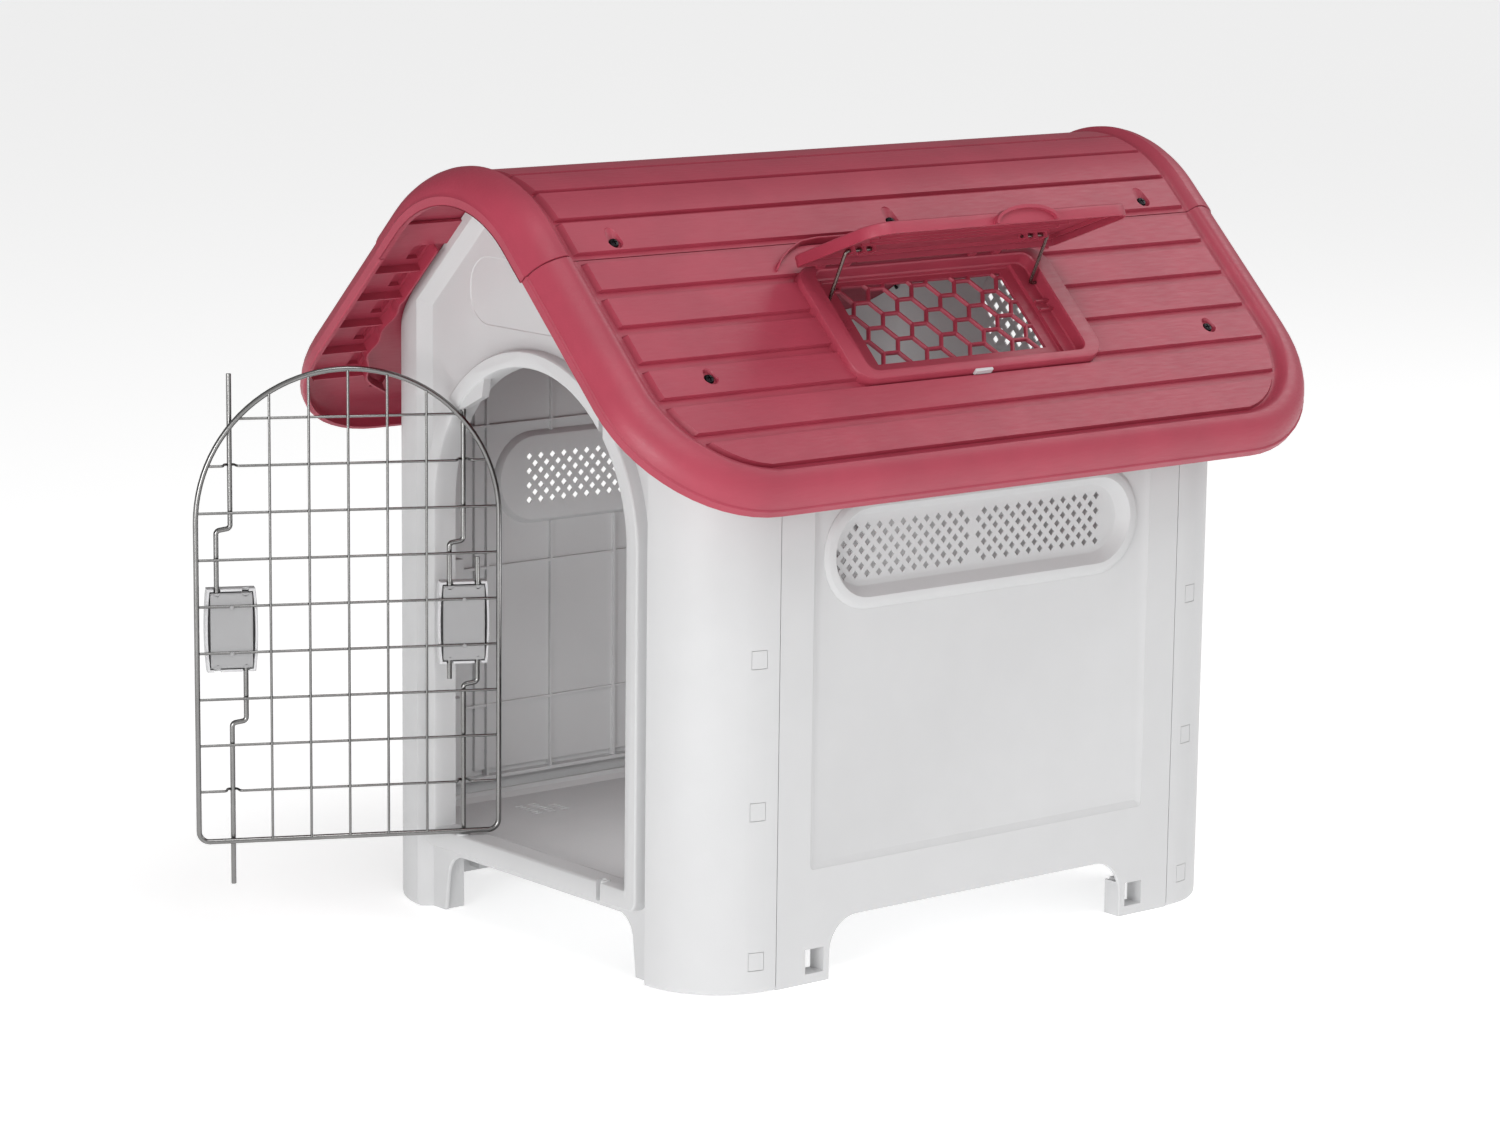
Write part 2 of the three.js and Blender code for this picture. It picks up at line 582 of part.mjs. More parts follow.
function withSkylight(panel) {
  const outerShape = roundedRectangle(
    frame.s0, frame.s1, -frame.halfY, frame.halfY, [frame.corner, frame.corner, frame.corner, frame.corner]);
  const proud = extruded(outerShape, roof.underN + 1, frame.topN, alongSlope);
  const t = 3.5;
  const well = slopeBlock(frame.innerS0 - t, frame.innerS1 + t, -frame.innerY - t, frame.innerY + t,
    frame.bottomN, frame.topN - 2);
  let result = panel.add(proud).add(well);
  const inner = frame.innerCorner;
  const mouth = roundedRectangle(
    frame.innerS0, frame.innerS1, -frame.innerY, frame.innerY, [inner, inner, inner, inner]);
  result = result.subtract(extruded(mouth, frame.ledgeN, frame.topN + 5, alongSlope, 3));
  result = result.subtract(slopeBlock(frame.innerS0, frame.innerS1, -frame.floorY, frame.floorY, frame.floorN, 505));
  result = result.subtract(hexGrille());
  for (const y of knuckle.centres) {
    for (const side of [-1, 1]) {
      const y0 = y + side * (knuckle.middleHalf + gap);
      const y1 = y + side * knuckle.halfLength;
      const [low, high] = [Math.min(y0, y1), Math.max(y0, y1)];
      const round = slopeKnuckle(low, high, knuckle.radius, lid.hingeS, lid.hingeN, 10);
      const stem = slopeBlock(lid.hingeS - 2, lid.hingeS + 3.5, low, high, frame.topN - 1, lid.hingeN);
      result = result.add(round).add(stem);
    }
    result = result.subtract(slopeKnuckle(y - 30, y + 30, 1.9, lid.hingeS, lid.hingeN, 8)
      .intersect(slopeBlock(lid.hingeS - 6, lid.hingeS + 6, y - 30, y + 30, frame.topN + 1, lid.hingeN + 6)));
  }
  return result;
}

function slopeKnuckle(y0, y1, radius, s, n, sides) {
  return cylinder(radius, y1 - y0, sides, slopePoint(s, (y0 + y1) / 2, n), unitY);
}

// The lid and its props are drawn about the hinge axis: a runs out along the lid, b is up from it.
const lidBasis = new THREE.Matrix4().makeBasis(unitX, unitY, unitZ);

function lidBlock(a0, a1, y0, y1, b0, b1) {
  return extruded(outline([[a0, y0], [a1, y0], [a1, y1], [a0, y1]]), b0, b1, lidBasis);
}

function skylightLid() {
  const { a0, a1, halfY, corner, skirt } = lid;
  const plate = extruded(roundedRectangle(a0, a1, -halfY, halfY, [4, corner, corner, 4]), lid.plateB, lid.topB, lidBasis);
  const rimShape = roundedRectangle(8, a1, -halfY, halfY, [2, corner, corner, 2]);
  const inner = corner - skirt;
  const hollow = roundedRectangle(2, a1 - skirt, -halfY + skirt, halfY - skirt, [1, inner, inner, 1]);
  let body = plate.add(extruded(rimShape, lid.skirtB, lid.plateB + 1, lidBasis)
    .subtract(extruded(hollow, lid.skirtB - 5, lid.plateB, lidBasis)));
  const lip = new THREE.Shape();
  lip.moveTo(a1 - 4, -16);
  lip.bezierCurveTo(a1 + 8, -8, a1 + 8, 44, a1 - 4, 52);
  lip.lineTo(a1 - 4, -16);
  body = body.add(extruded(lip, lid.plateB + 0.5, lid.topB, lidBasis));
  for (const y of knuckle.centres) {
    const half = knuckle.middleHalf;
    const barrel = cylinder(knuckle.radius - 0.6, 2 * half, 10, new THREE.Vector3(0, y, 0), unitY);
    body = body.add(barrel).add(lidBlock(-2.5, 2.5, y - half, y + half, 0, lid.plateB + 1));
    // room for the frame's knuckles on each side
    for (const side of [-1, 1]) {
      const y0 = y + side * half;
      const y1 = y + side * (knuckle.halfLength + 1);
      const clearance = lidBlock(-8, 6, Math.min(y0, y1), Math.max(y0, y1), -5, lid.topB + 1);
      body = body.subtract(clearance);
    }
    body = body.subtract(cylinder(1.9, 60, 8, new THREE.Vector3(0, y, 0), unitY)
      .intersect(lidBlock(-3, 3, y - half - 1, y + half + 1, -3, 3)));
  }
  for (const side of [-1, 1]) {
    const y = side * (prop.planeY - 9);
    const lug = lidBlock(prop.a - 4, prop.a + 4, y - 2.5, y + 2.5, -3, lid.plateB + 1);
    body = body.add(lug.subtract(cylinder(prop.wire + 0.4, 20, 8, new THREE.Vector3(prop.a, y, 0), unitY)));
  }
  return body;
}

// A round wire along a polyline, with a ball at each corner.
function wireBody(points, radius, sides) {
  let body = null;
  for (let k = 0; k + 1 < points.length; k += 1) {
    const direction = points[k + 1].clone().sub(points[k]);
    const length = direction.length();
    const middle = points[k].clone().add(points[k + 1]).multiplyScalar(0.5);
    const piece = cylinder(radius, length, sides, middle, direction);
    body = body ? body.add(piece) : piece;
    if (k > 0) {
      const ball = new THREE.SphereGeometry(radius * 1.02, sides, 4);
      ball.translate(points[k].x, points[k].y, points[k].z);
      body = body.add(solid(ball));
    }
  }
  return body;
}

function lidProp(side) {
  const y = side * prop.planeY;
  return wireBody([
    new THREE.Vector3(0, y - side * prop.pinReach, 0),
    new THREE.Vector3(0, y, 0),
    new THREE.Vector3(prop.length, y, 0),
    new THREE.Vector3(prop.length, y + side * prop.footReach, 0),
  ], prop.wire, 8);
}

function lidCatch() {
  return slopeBlock(frame.s1 + gap, frame.s1 + 2.6, -14.5, 9.3, roof.plankN + gap, frame.topN - 0.5);
}

// ---------------------------------------------------------------- fasteners
function roofScrewSolid(headRadius) {
  const head = cylinder(headRadius, 2.6, 10, new THREE.Vector3(0, 0, 1.3), unitZ);
  const shank = cylinder(1.5, 16, 8, new THREE.Vector3(0, 0, -7.5), unitZ);
  return head.add(shank).subtract(box(-2.6, 2.6, -0.6, 0.6, 1.4, 3));
}

// ---------------------------------------------------------------- door
// The door is drawn closed about its hinge axis: x runs out to the free edge, y is inwards.
const doorMiddle = -door.hingeX;

function framePath() {
  const path = new THREE.CurvePath();
  const { radius, arcZ, bottomZ, corner, gridY } = door;
  const point = (x, z) => new THREE.Vector3(doorMiddle + x, gridY, z);
  path.add(new THREE.LineCurve3(point(0, bottomZ), point(radius - corner, bottomZ)));
  path.add(new THREE.QuadraticBezierCurve3(
    point(radius - corner, bottomZ), point(radius, bottomZ), point(radius, bottomZ + corner)));
  path.add(new THREE.LineCurve3(point(radius, bottomZ + corner), point(radius, arcZ)));
  const arc = [];
  const steps = 16;
  for (let k = 0; k <= steps; k += 1) {
    arc.push(point(radius * Math.cos(k / steps * Math.PI), arcZ + radius * Math.sin(k / steps * Math.PI)));
  }
  for (let k = 0; k < steps; k += 1) path.add(new THREE.LineCurve3(arc[k], arc[k + 1]));
  path.add(new THREE.LineCurve3(point(-radius, arcZ), point(-radius, bottomZ + corner)));
  path.add(new THREE.QuadraticBezierCurve3(
    point(-radius, bottomZ + corner), point(-radius, bottomZ), point(-radius + corner, bottomZ)));
  path.add(new THREE.LineCurve3(point(-radius + corner, bottomZ), point(0, bottomZ)));
  return path;
}

function frameWire() {
  const corners = [];
  for (const curve of framePath().curves) {
    const pieces = curve.isLineCurve3 ? 1 : 3;
    for (let k = 0; k < pieces; k += 1) corners.push(curve.getPoint(k / pieces));
  }
  const count = corners.length;
  const sides = 6;
  const positions = [];
  const index = [];
  for (let k = 0; k < count; k += 1) {
    const before = corners[(k + count - 1) % count];
    const after = corners[(k + 1) % count];
    const tangent = after.clone().sub(corners[k]).normalize()
      .add(corners[k].clone().sub(before).normalize()).normalize();
    const side = new THREE.Vector3().crossVectors(tangent, unitY).normalize();
    for (let j = 0; j < sides; j += 1) {
      const angle = (j + 0.5) / sides * 2 * Math.PI;
      const at = corners[k].clone()
        .addScaledVector(side, door.wire * Math.cos(angle))
        .addScaledVector(unitY, door.wire * Math.sin(angle));
      positions.push(at.x, at.y, at.z);
    }
  }
  for (let k = 0; k < count; k += 1) {
    for (let j = 0; j < sides; j += 1) {
      const a = k * sides + j;
      const b = k * sides + (j + 1) % sides;
      const c = ((k + 1) % count) * sides + (j + 1) % sides;
      const d = ((k + 1) % count) * sides + j;
      index.push(a, c, b, a, d, c);
    }
  }
  const geometry = new THREE.BufferGeometry();
  geometry.setAttribute("position", new THREE.BufferAttribute(new Float32Array(positions), 3));
  geometry.setIndex(index);
  return solid(geometry);
}

function doorGrid() {
  let grid = frameWire();
  const half = door.thin / 2;
  const reach = (offset) => Math.sqrt(door.radius ** 2 - offset ** 2);
  const middle = (door.bars - 1) / 2;
  for (let k = 0; k < door.bars; k += 1) {
    const x = (k - middle) * door.barPitch;
    const top = door.arcZ + reach(x);
    grid = grid.add(box(doorMiddle + x - half, doorMiddle + x + half,
      door.gridY - half, door.gridY + half, door.bottomZ, top));
  }
  for (let row = 0; row < door.rows; row += 1) {
    const z = door.rowZ + row * door.rowPitch;
    const width = z > door.arcZ ? reach(z - door.arcZ) : door.radius;
    const kinked = row === 0 || row === door.rows - 2;
    const centres = kinked ? latch.offsets : [];
    let start = doorMiddle - width;
    for (const x of centres) {
      grid = grid.add(box(start, x - 5, door.gridY - half, door.gridY + half, z - half, z + half));
      const low = -latch.rod - 0.8 - 2 * half;
      grid = grid.add(box(x - 5 - 2 * half, x - 5, low, door.gridY + half, z - half, z + half));
      grid = grid.add(box(x - 5 - 2 * half, x + 5 + 2 * half, low, low + 2 * half, z - half, z + half));
      grid = grid.add(box(x + 5, x + 5 + 2 * half, low, door.gridY + half, z - half, z + half));
      start = x + 5;
    }
    grid = grid.add(box(start, doorMiddle + width, door.gridY - half, door.gridY + half, z - half, z + half));
  }
  return grid;
}

// The latch case: an outer shell with a grey tray behind it, both open where the rods pass.
function latchCase() {
  const { width, height, depth, centreZ, lane } = latch;
  const y0 = -depth + 2;
  const shell = roundedRectangle(-width / 2, width / 2, centreZ - height / 2, centreZ + height / 2, [5, 5, 5, 5]);
  let body = extruded(shell, -3, -y0, alongMinusY, 3);
  const inside = box(-width / 2 + 2.5, width / 2 - 2.5, y0 + 2.5, 10, centreZ - height / 2 + 2.5, centreZ + height / 2 - 2.5);
  body = body.subtract(inside);
  for (const x of [-lane, lane]) {
    body = body.subtract(box(x - 2.8, x + 2.8, -2.8, 10, centreZ - height, centreZ + height));
  }
  return body;
}

function latchTray() {
  const { width, height, centreZ, lane } = latch;
  const halfX = width / 2 - 3;
  const halfZ = height / 2 - 3;
  const back = box(-halfX, halfX, 3.6, 4.4, centreZ - halfZ, centreZ + halfZ);
  const rib = box(-4, 4, -7.6, 4, centreZ - halfZ + 6, centreZ + halfZ - 6);
  const end = (z0, z1) => box(-halfX, halfX, -7.6, 4, z0, z1);
  let body = back.add(rib).add(end(centreZ - halfZ, centreZ - halfZ + 3)).add(end(centreZ + halfZ - 3, centreZ + halfZ));
  for (const x of [-lane, lane]) {
    body = body.subtract(box(x - 2.8, x + 2.8, -2.8, 3.59, centreZ - height, centreZ + height));
  }
  return body;
}

// A latch rod: straight on the hinge line, jogged across to its lane, with a thrust collar.
function latchRod(kind, shift) {
  const { tip, jog, tail } = rodZ[kind];
  const laneX = kind === "upper" ? latch.lane : -latch.lane;
  const point = (x, z) => new THREE.Vector3(x, 0, z + shift);
  const wire = wireBody([point(0, tip), point(0, jog), point(laneX, jog), point(laneX, tail)], latch.rod, 8);
  const { z0, z1 } = springZ(kind, shift);
  const collarZ = kind === "upper" ? z1 + 1 : z0 - 1;
  return wire.add(cylinder(springRadius, 1.4, 8, new THREE.Vector3(laneX, 0, collarZ), unitZ));
}

// A spring sits between one end of the case and the collar on its rod.
function springZ(kind, shift) {
  const inner = latch.height / 2 - 6.6;
  const tail = rodZ[kind].tail + shift;
  return kind === "upper"
    ? { z0: latch.centreZ - inner, z1: tail + 57 }
    : { z0: tail - 57, z1: latch.centreZ + inner };
}

// A spring's envelope: a sleeve round the rod.
function springSleeve(kind, shift) {
  const { z0, z1 } = springZ(kind, shift);
  const inner = latch.rod + 0.3;
  const profile = [[inner, z0], [springRadius, z0], [springRadius, z1], [inner, z1], [inner, z0]];
  const geometry = new THREE.LatheGeometry(profile.map(([r, z]) => new THREE.Vector2(r, z)), 10);
  geometry.rotateX(Math.PI / 2);
  geometry.translate(kind === "upper" ? latch.lane : -latch.lane, 0, 0);
  return solid(geometry);
}

// ---------------------------------------------------------------- assembly
const house = new THREE.Group();

function add(parent, name, geometry, material) {
  const mesh = new THREE.Mesh(geometry, material);
  mesh.name = name;
  parent.add(mesh);
  return mesh;
}

add(house, "front_panel", toGeometry(endPanel(true)), shellGrey);
add(house, "back_panel", toGeometry(endPanel(false)), shellGrey).rotation.z = Math.PI;
const sideGeometry = toGeometry(sideWall());
add(house, "side_wall_right", sideGeometry, shellGrey);
add(house, "side_wall_left", sideGeometry, shellGrey).rotation.z = Math.PI;
add(house, "floor_tray", toGeometry(floorTray()), shellGrey);

const plainRoof = roofPanel();
add(house, "roof_panel_left", toGeometry(plainRoof), roofRed).rotation.z = Math.PI;
add(house, "roof_panel_right", toGeometry(withSkylight(plainRoof)), roofRed);
add(house, "ridge_cap", toGeometry(ridgeCap()), roofRed);
add(house, "lid_catch", toGeometry(lidCatch()), latchWhite);

knuckle.centres.forEach((y, index) => {
  const reach = knuckle.halfLength - 0.5;
  const pin = slopeKnuckle(y - reach, y + reach, 1.5, lid.hingeS, lid.hingeN, 8);
  add(house, ["lid_hinge_pin_front", "lid_hinge_pin_back"][index], toGeometry(pin), darkSteel);
});

function addScrew(name, s, y, n, side, headRadius) {
  const screw = add(house, name, toGeometry(roofScrewSolid(headRadius)), blackSteel);
  const at = slopePoint(s, y, n);
  screw.position.set(side * at.x, at.y, at.z);
  screw.rotation.y = side * roof.angle;
}

for (const [side, sideName] of [[1, "right"], [-1, "left"]]) {
  const capNames = ["front", "middle", "back"];
  [-roofScrew.capY, 0, roofScrew.capY].forEach((y, index) => {
    addScrew(`cap_screw_${sideName}_${capNames[index]}`, roofScrew.capS, y, 504 + gap, side, 3.8);
  });
  [-roofScrew.slopeY, roofScrew.slopeY].forEach((y, index) => {
    addScrew(`slope_screw_${sideName}_${["front", "back"][index]}`, roofScrew.slopeS, y, 504.2 + gap, side, 4.6);
  });
}

const lidGroup = new THREE.Group();
lidGroup.position.copy(slopePoint(lid.hingeS, 0, lid.hingeN));
lidGroup.rotation.y = roof.angle - lid.openAngle;
house.add(lidGroup);
add(lidGroup, "skylight_lid", toGeometry(skylightLid()), roofRed);
for (const [side, name] of [[-1, "lid_prop_front"], [1, "lid_prop_back"]]) {
  const wire = add(lidGroup, name, toGeometry(lidProp(side)), darkSteel);
  wire.position.x = prop.a;
  wire.rotation.y = -prop.angle;
}

const doorGroup = new THREE.Group();
doorGroup.position.set(door.hingeX, door.hingeY, 0);
doorGroup.rotation.z = door.openAngle;
house.add(doorGroup);
add(doorGroup, "door_grid", toGeometry(doorGrid()), zinc);
for (const [index, sideName] of ["hinge", "free"].entries()) {
  const place = new THREE.Group();
  place.position.x = latch.offsets[index];
  doorGroup.add(place);
  add(place, `${sideName}_latch_case`, toGeometry(latchCase()), latchWhite);
  add(place, `${sideName}_latch_tray`, toGeometry(latchTray()), latchGrey);
  for (const kind of ["upper", "lower"]) {
    const shift = sideName === "hinge" ? seatedShift[kind] : 0;
    add(place, `${sideName}_${kind}_rod`, toGeometry(latchRod(kind, shift)), zinc);
    add(place, `${sideName}_${kind}_spring`, toGeometry(springSleeve(kind, shift)), darkSteel);
  }
}

// The origin is the bottom centre of the whole object's box with the door and lid open.
const extent = new THREE.Box3().setFromObject(house);
house.position.set(0, -(extent.min.y + extent.max.y) / 2, 0);
house.updateMatrixWorld(true);

export default house;
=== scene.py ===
"""A small plastic pet house with an open wire door and a propped skylight lid, dressed around its CAD frame.

Shapes are worked out in house millimetres: X = Y = 0 is the middle of the house, the doorway is on the -Y
side, the ridge runs along Y and Z = 0 is the ground. to_row() turns them into the frame's metres.
"""
from math import atan2, cos, pi, radians, sin, sqrt, tan

import bmesh
import bpy
from mathutils import Matrix, Vector


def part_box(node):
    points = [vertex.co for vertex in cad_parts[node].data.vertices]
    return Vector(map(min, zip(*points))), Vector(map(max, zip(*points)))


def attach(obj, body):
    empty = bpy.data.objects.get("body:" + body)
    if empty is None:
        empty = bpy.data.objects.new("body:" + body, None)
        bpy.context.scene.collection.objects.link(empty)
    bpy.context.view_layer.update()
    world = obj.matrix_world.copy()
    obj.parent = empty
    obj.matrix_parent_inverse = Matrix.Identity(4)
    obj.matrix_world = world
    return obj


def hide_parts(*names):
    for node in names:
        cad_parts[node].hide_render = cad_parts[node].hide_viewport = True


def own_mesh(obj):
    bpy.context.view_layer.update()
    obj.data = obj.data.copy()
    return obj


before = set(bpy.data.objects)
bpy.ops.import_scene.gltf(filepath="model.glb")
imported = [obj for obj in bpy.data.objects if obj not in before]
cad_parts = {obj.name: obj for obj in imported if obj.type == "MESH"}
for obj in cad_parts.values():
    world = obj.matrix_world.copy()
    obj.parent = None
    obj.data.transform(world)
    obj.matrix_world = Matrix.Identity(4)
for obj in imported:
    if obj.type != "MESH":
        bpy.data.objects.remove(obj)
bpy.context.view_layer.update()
cap_low, cap_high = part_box("ridge_cap")
SHIFT = (cap_low.y + cap_high.y) / 2  # where the middle of the house is along Y, in metres

# ---- driving dimensions, mm
# S runs down a slope, N is the height square to it, T the distance round the ridge from its crest.
SLOPE = radians(44)
CA, SA = cos(SLOPE), sin(SLOPE)
PLANK_N, GROOVE_N, UNDER_N = 507.5, 503.6, 501.0
WALL_TOP_N = 500.6
RIDGE_R = 134.0
RIDGE_Z = (PLANK_N - RIDGE_R) / CA
TANGENT_S = -RIDGE_Z * SA
HALF_TURN_T = RIDGE_R * SLOPE  # distance round the ridge from its crest to the flat slope
SEAM_S = -329.2
SEAM_T = HALF_TURN_T + SEAM_S - TANGENT_S
RIM_S, RIM_Y, RIM_R, RIM_SPREAD = -78.4, 380.0, 119.0, 1.3
PLANK_PITCH, PLANK_TOP_PITCH = 36.75, 36.9
PLANK_TOP_S, PLANK_END_S, GROOVE_S = -324.6, -295.4, -290.8
HALF_X, FRONT_Y, SEAM_Y, CORNER_R = 233.0, 300.0, 222.2, 75.0
SKIN = 3.0
DOOR_X, DOOR_Y, DOOR_TURN = -98.5, -295.0, radians(-116)
LID_S, LID_N, LID_RISE = -297.0, 518.0, radians(20)


# ---- places
def to_row(p):
    """House millimetres to the frame's metres."""
    return Vector((p[0] / 1000, p[1] / 1000 + SHIFT, p[2] / 1000))


def on_slope(s, y, n, side=1):
    """s runs down the slope from the line above the middle, n stands square to it."""
    return Vector((side * (s * CA + n * SA), y, -s * SA + n * CA))


def on_front(x, z, out):
    return Vector((x, -out, z))


def on_side(y, z, out, side=1):
    return Vector((side * out, y, z))


def flat(x, y, z):
    return Vector((x, y, z))


def plank_face(side):
    """Places on a slope with heights counted from its planks."""
    return lambda s, y, height: on_slope(s, y, PLANK_N + height, side)


def span(side, near, far, middle=0.0):
    """Both ends of a stretch on one side of the middle, lowest first."""
    return sorted((middle + side * near, middle + side * far))


def on_cap(t, y, height):
    """t is the distance round the ridge from its crest, height is out from the planks' surface."""
    side = 1 if t >= 0 else -1
    turn = abs(t) / RIDGE_R
    if turn <= SLOPE:
        reach = RIDGE_R + height
        return Vector((side * reach * sin(turn), y, RIDGE_Z + reach * cos(turn)))
    return on_slope(TANGENT_S + abs(t) - HALF_TURN_T, y, PLANK_N + height, side)


LID_HINGE = on_slope(LID_S, 0, LID_N)


def on_lid(a, y, b):
    """a runs from the hinge to the free edge, b stands up from the lid."""
    c, s = cos(LID_RISE), sin(LID_RISE)
    return Vector((LID_HINGE.x + a * c - b * s, y, LID_HINGE.z + a * s + b * c))


def on_door(x, y, z):
    """x runs from the hinge line to the free edge, y is towards the inside when closed."""
    c, s = cos(DOOR_TURN), sin(DOOR_TURN)
    return Vector((DOOR_X + x * c - y * s, DOOR_Y + x * s + y * c, z))


# ---- shells: (points, faces)
def loft(rings):
    """A closed skin over rings of equally many points, with both ends filled."""
    n = len(rings[0])
    faces = []
    for i in range(len(rings) - 1):
        for j in range(n):
            k = (j + 1) % n
            faces.append((i * n + j, i * n + k, (i + 1) * n + k, (i + 1) * n + j))
    last = (len(rings) - 1) * n
    faces.append(tuple(reversed(range(n))))
    faces.append(tuple(range(last, last + n)))
    return [p for ring in rings for p in ring], faces


def layers(outline, levels, place):
    """Stacks one outline at several (inset, height) levels."""
    return loft([[place(p[0], p[1], h) for p in outline(inset)] for inset, h in levels])


def prism(points, low, high, place):
    return loft([[place(p[0], p[1], h) for p in points] for h in (low, high)])


def arc(x, y, radius, first, turn, steps):
    """Points round part of a circle."""
    angles = [first + turn * k / steps for k in range(steps + 1)]
    return [(x + radius * cos(angle), y + radius * sin(angle)) for angle in angles]


def block(place, a0, a1, b0, b1, h0, h1):
    return prism([(a0, b0), (a1, b0), (a1, b1), (a0, b1)], h0, h1, place)


def rounded(corners, radii, inset=0.0, steps=6):
    """A closed counter-clockwise outline with rounded corners, its edges moved inwards by inset."""
    count = len(corners)
    if not hasattr(radii, "__len__"):
        radii = [radii] * count
    result = []
    for i, corner in enumerate(corners):
        p, a, b = Vector(corner), Vector(corners[i - 1]), Vector(corners[(i + 1) % count])
        u, v = (p - a).normalized(), (b - p).normalized()
        nu, nv = Vector((-u.y, u.x)), Vector((-v.y, v.x))
        turn = atan2(u.x * v.y - u.y * v.x, u.dot(v))
        moved = p + (nu + nv) * (inset / (1 + nu.dot(nv)))
        sign = 1 if turn > 0 else -1
        radius = max(radii[i] - sign * inset, 0.05)
        start = moved - u * radius * tan(abs(turn) / 2)
        centre = start + nu * sign * radius
        first = atan2(start.y - centre.y, start.x - centre.x)
        result += arc(centre.x, centre.y, radius, first, turn, steps)
    return result


def rectangle(x0, x1, y0, y1, radii, inset=0.0, steps=6):
    return rounded([(x0, y0), (x1, y0), (x1, y1), (x0, y1)], radii, inset, steps)


def arch(half, bottom, arc_z, inset=0.0, corner=0.0, steps=40):
    """A doorway's outline, rounded at both bottom corners."""
    half, bottom, corner = half - inset, bottom + inset, max(corner - inset, 0.05)
    points = []
    for side, first in ((-1, pi), (1, 1.5 * pi)):
        points += arc(side * (half - corner), bottom + corner, corner, first, pi / 2, 4)
    return points + arc(0, arc_z, half, 0, pi, steps)


def stadium(centre, half_length, half_height, inset=0.0, steps=16):
    """A slot's outline with round ends."""
    half_length, half_height = half_length - inset, half_height - inset
    points = []
    for side, first in ((1, -pi / 2), (-1, pi / 2)):
        points += arc(side * (half_length - half_height), centre, half_height, first, pi, steps)
    return points


def circle(centre, u, v, radius, sides):
    """A ring of points round centre in the plane of u and v."""
    angles = [2 * pi * k / sides for k in range(sides)]
    return [centre + radius * (u * cos(angle) + v * sin(angle)) for angle in angles]


def heading(path, i, closed=False):
    """The direction of a path at its point i."""
    count = len(path)
    if closed:
        return (path[(i + 1) % count] - path[i - 1]).normalized()
    return (path[min(i + 1, count - 1)] - path[max(i - 1, 0)]).normalized()


def tube(path, radius, sides=12, closed=False):
    """A round wire along points, carried round bends without twisting."""
    rings = []
    side = None
    for i, p in enumerate(path):
        tangent = heading(path, i, closed)
        if side is None:
            side = tangent.orthogonal().normalized()
        side = (side - tangent * side.dot(tangent)).normalized()
        other = tangent.cross(side)
        rings.append(circle(p, side, other, radius, sides))
    if not closed:
        return loft(rings)
    points, faces = loft(rings + [rings[0]])
    n = sides * len(path)
    faces = [tuple(i % n for i in face) for face in faces[:-2]]
    return points[:n], faces


def bent(points, radius, steps=5):
    """A polyline with its corners rounded."""
    result = [points[0]]
    for a, p, b in zip(points, points[1:], points[2:]):
        u, v = (p - a).normalized(), (b - p).normalized()
        turn = u.angle(v)
        if turn < 0.02:
            result.append(p)
            continue
        reach = min(radius * tan(turn / 2), 0.48 * (p - a).length, 0.48 * (b - p).length)
        r = reach / tan(turn / 2)
        centre = p + (v - u).normalized() * (r / cos(turn / 2))
        start = p - u * reach - centre
        axis = u.cross(v).normalized()
        for k in range(steps + 1):
            result.append(centre + Matrix.Rotation(turn * k / steps, 3, axis) @ start)
    result.append(points[-1])
    return result


def rod(a, b, radius, sides=12):
    """A straight round bar."""
    return tube([Vector(a), Vector(b)], radius, sides)


def disc(centre, direction, levels, sides=20):
    """A turned shape: (radius, height) levels along direction from centre."""
    direction = Vector(direction).normalized()
    u = direction.orthogonal().normalized()
    v = direction.cross(u)
    centre = Vector(centre)
    return loft([circle(centre + direction * height, u, v, radius, sides) for radius, height in levels])


def raised(surface, us, half, depth, u_slopes, v_slope):
    """A flat-topped board on a surface: rows at us, reaching +-half(u), with sloped edges."""
    rows = [us[0] - u_slopes[0]] + list(us) + [us[-1] + u_slopes[1]]
    points = []
    for level in (1, 0):
        for i, u in enumerate(rows):
            reach = half(min(max(u, us[0]), us[-1]))
            edge = i in (0, len(rows) - 1)
            for v, low in ((-reach - v_slope, True), (-reach, edge), (reach, edge), (reach + v_slope, True)):
                height = (-depth - 0.2 if low else 0.0) if level else -depth - 1.6
                points.append(surface(u, v, height))
    faces = []
    total = len(rows) * 4
    for i in range(len(rows) - 1):
        for j in range(3):
            a = i * 4 + j
            faces.append((a, a + 1, a + 5, a + 4))
            faces.append((total + a, total + a + 4, total + a + 5, total + a + 1))
        for j in (0, 3):
            a = i * 4 + j
            faces.append((a, a + 4, total + a + 4, total + a))
    for i in (0, len(rows) - 1):
        for j in range(3):
            a = i * 4 + j
            faces.append((a, a + 1, total + a + 1, total + a))
    return points, faces


# ---- objects
def add_object(name, data):
    obj = bpy.data.objects.new(name, data)
    bpy.context.scene.collection.objects.link(obj)
    return obj


def build(name, *shells):
    """One object from shells, with its faces turned outwards."""
    verts, faces = [], []
    for points, polygons in shells:
        start = len(verts)
        verts += [to_row(p) for p in points]
        faces += [[start + i for i in polygon] for polygon in polygons]
    mesh = bpy.data.meshes.new(name)
    mesh.from_pydata(verts, [], faces)
    work = bmesh.new()
    work.from_mesh(mesh)
    bmesh.ops.recalc_face_normals(work, faces=work.faces)
    work.to_mesh(mesh)
    work.free()
    return add_object(name, mesh)


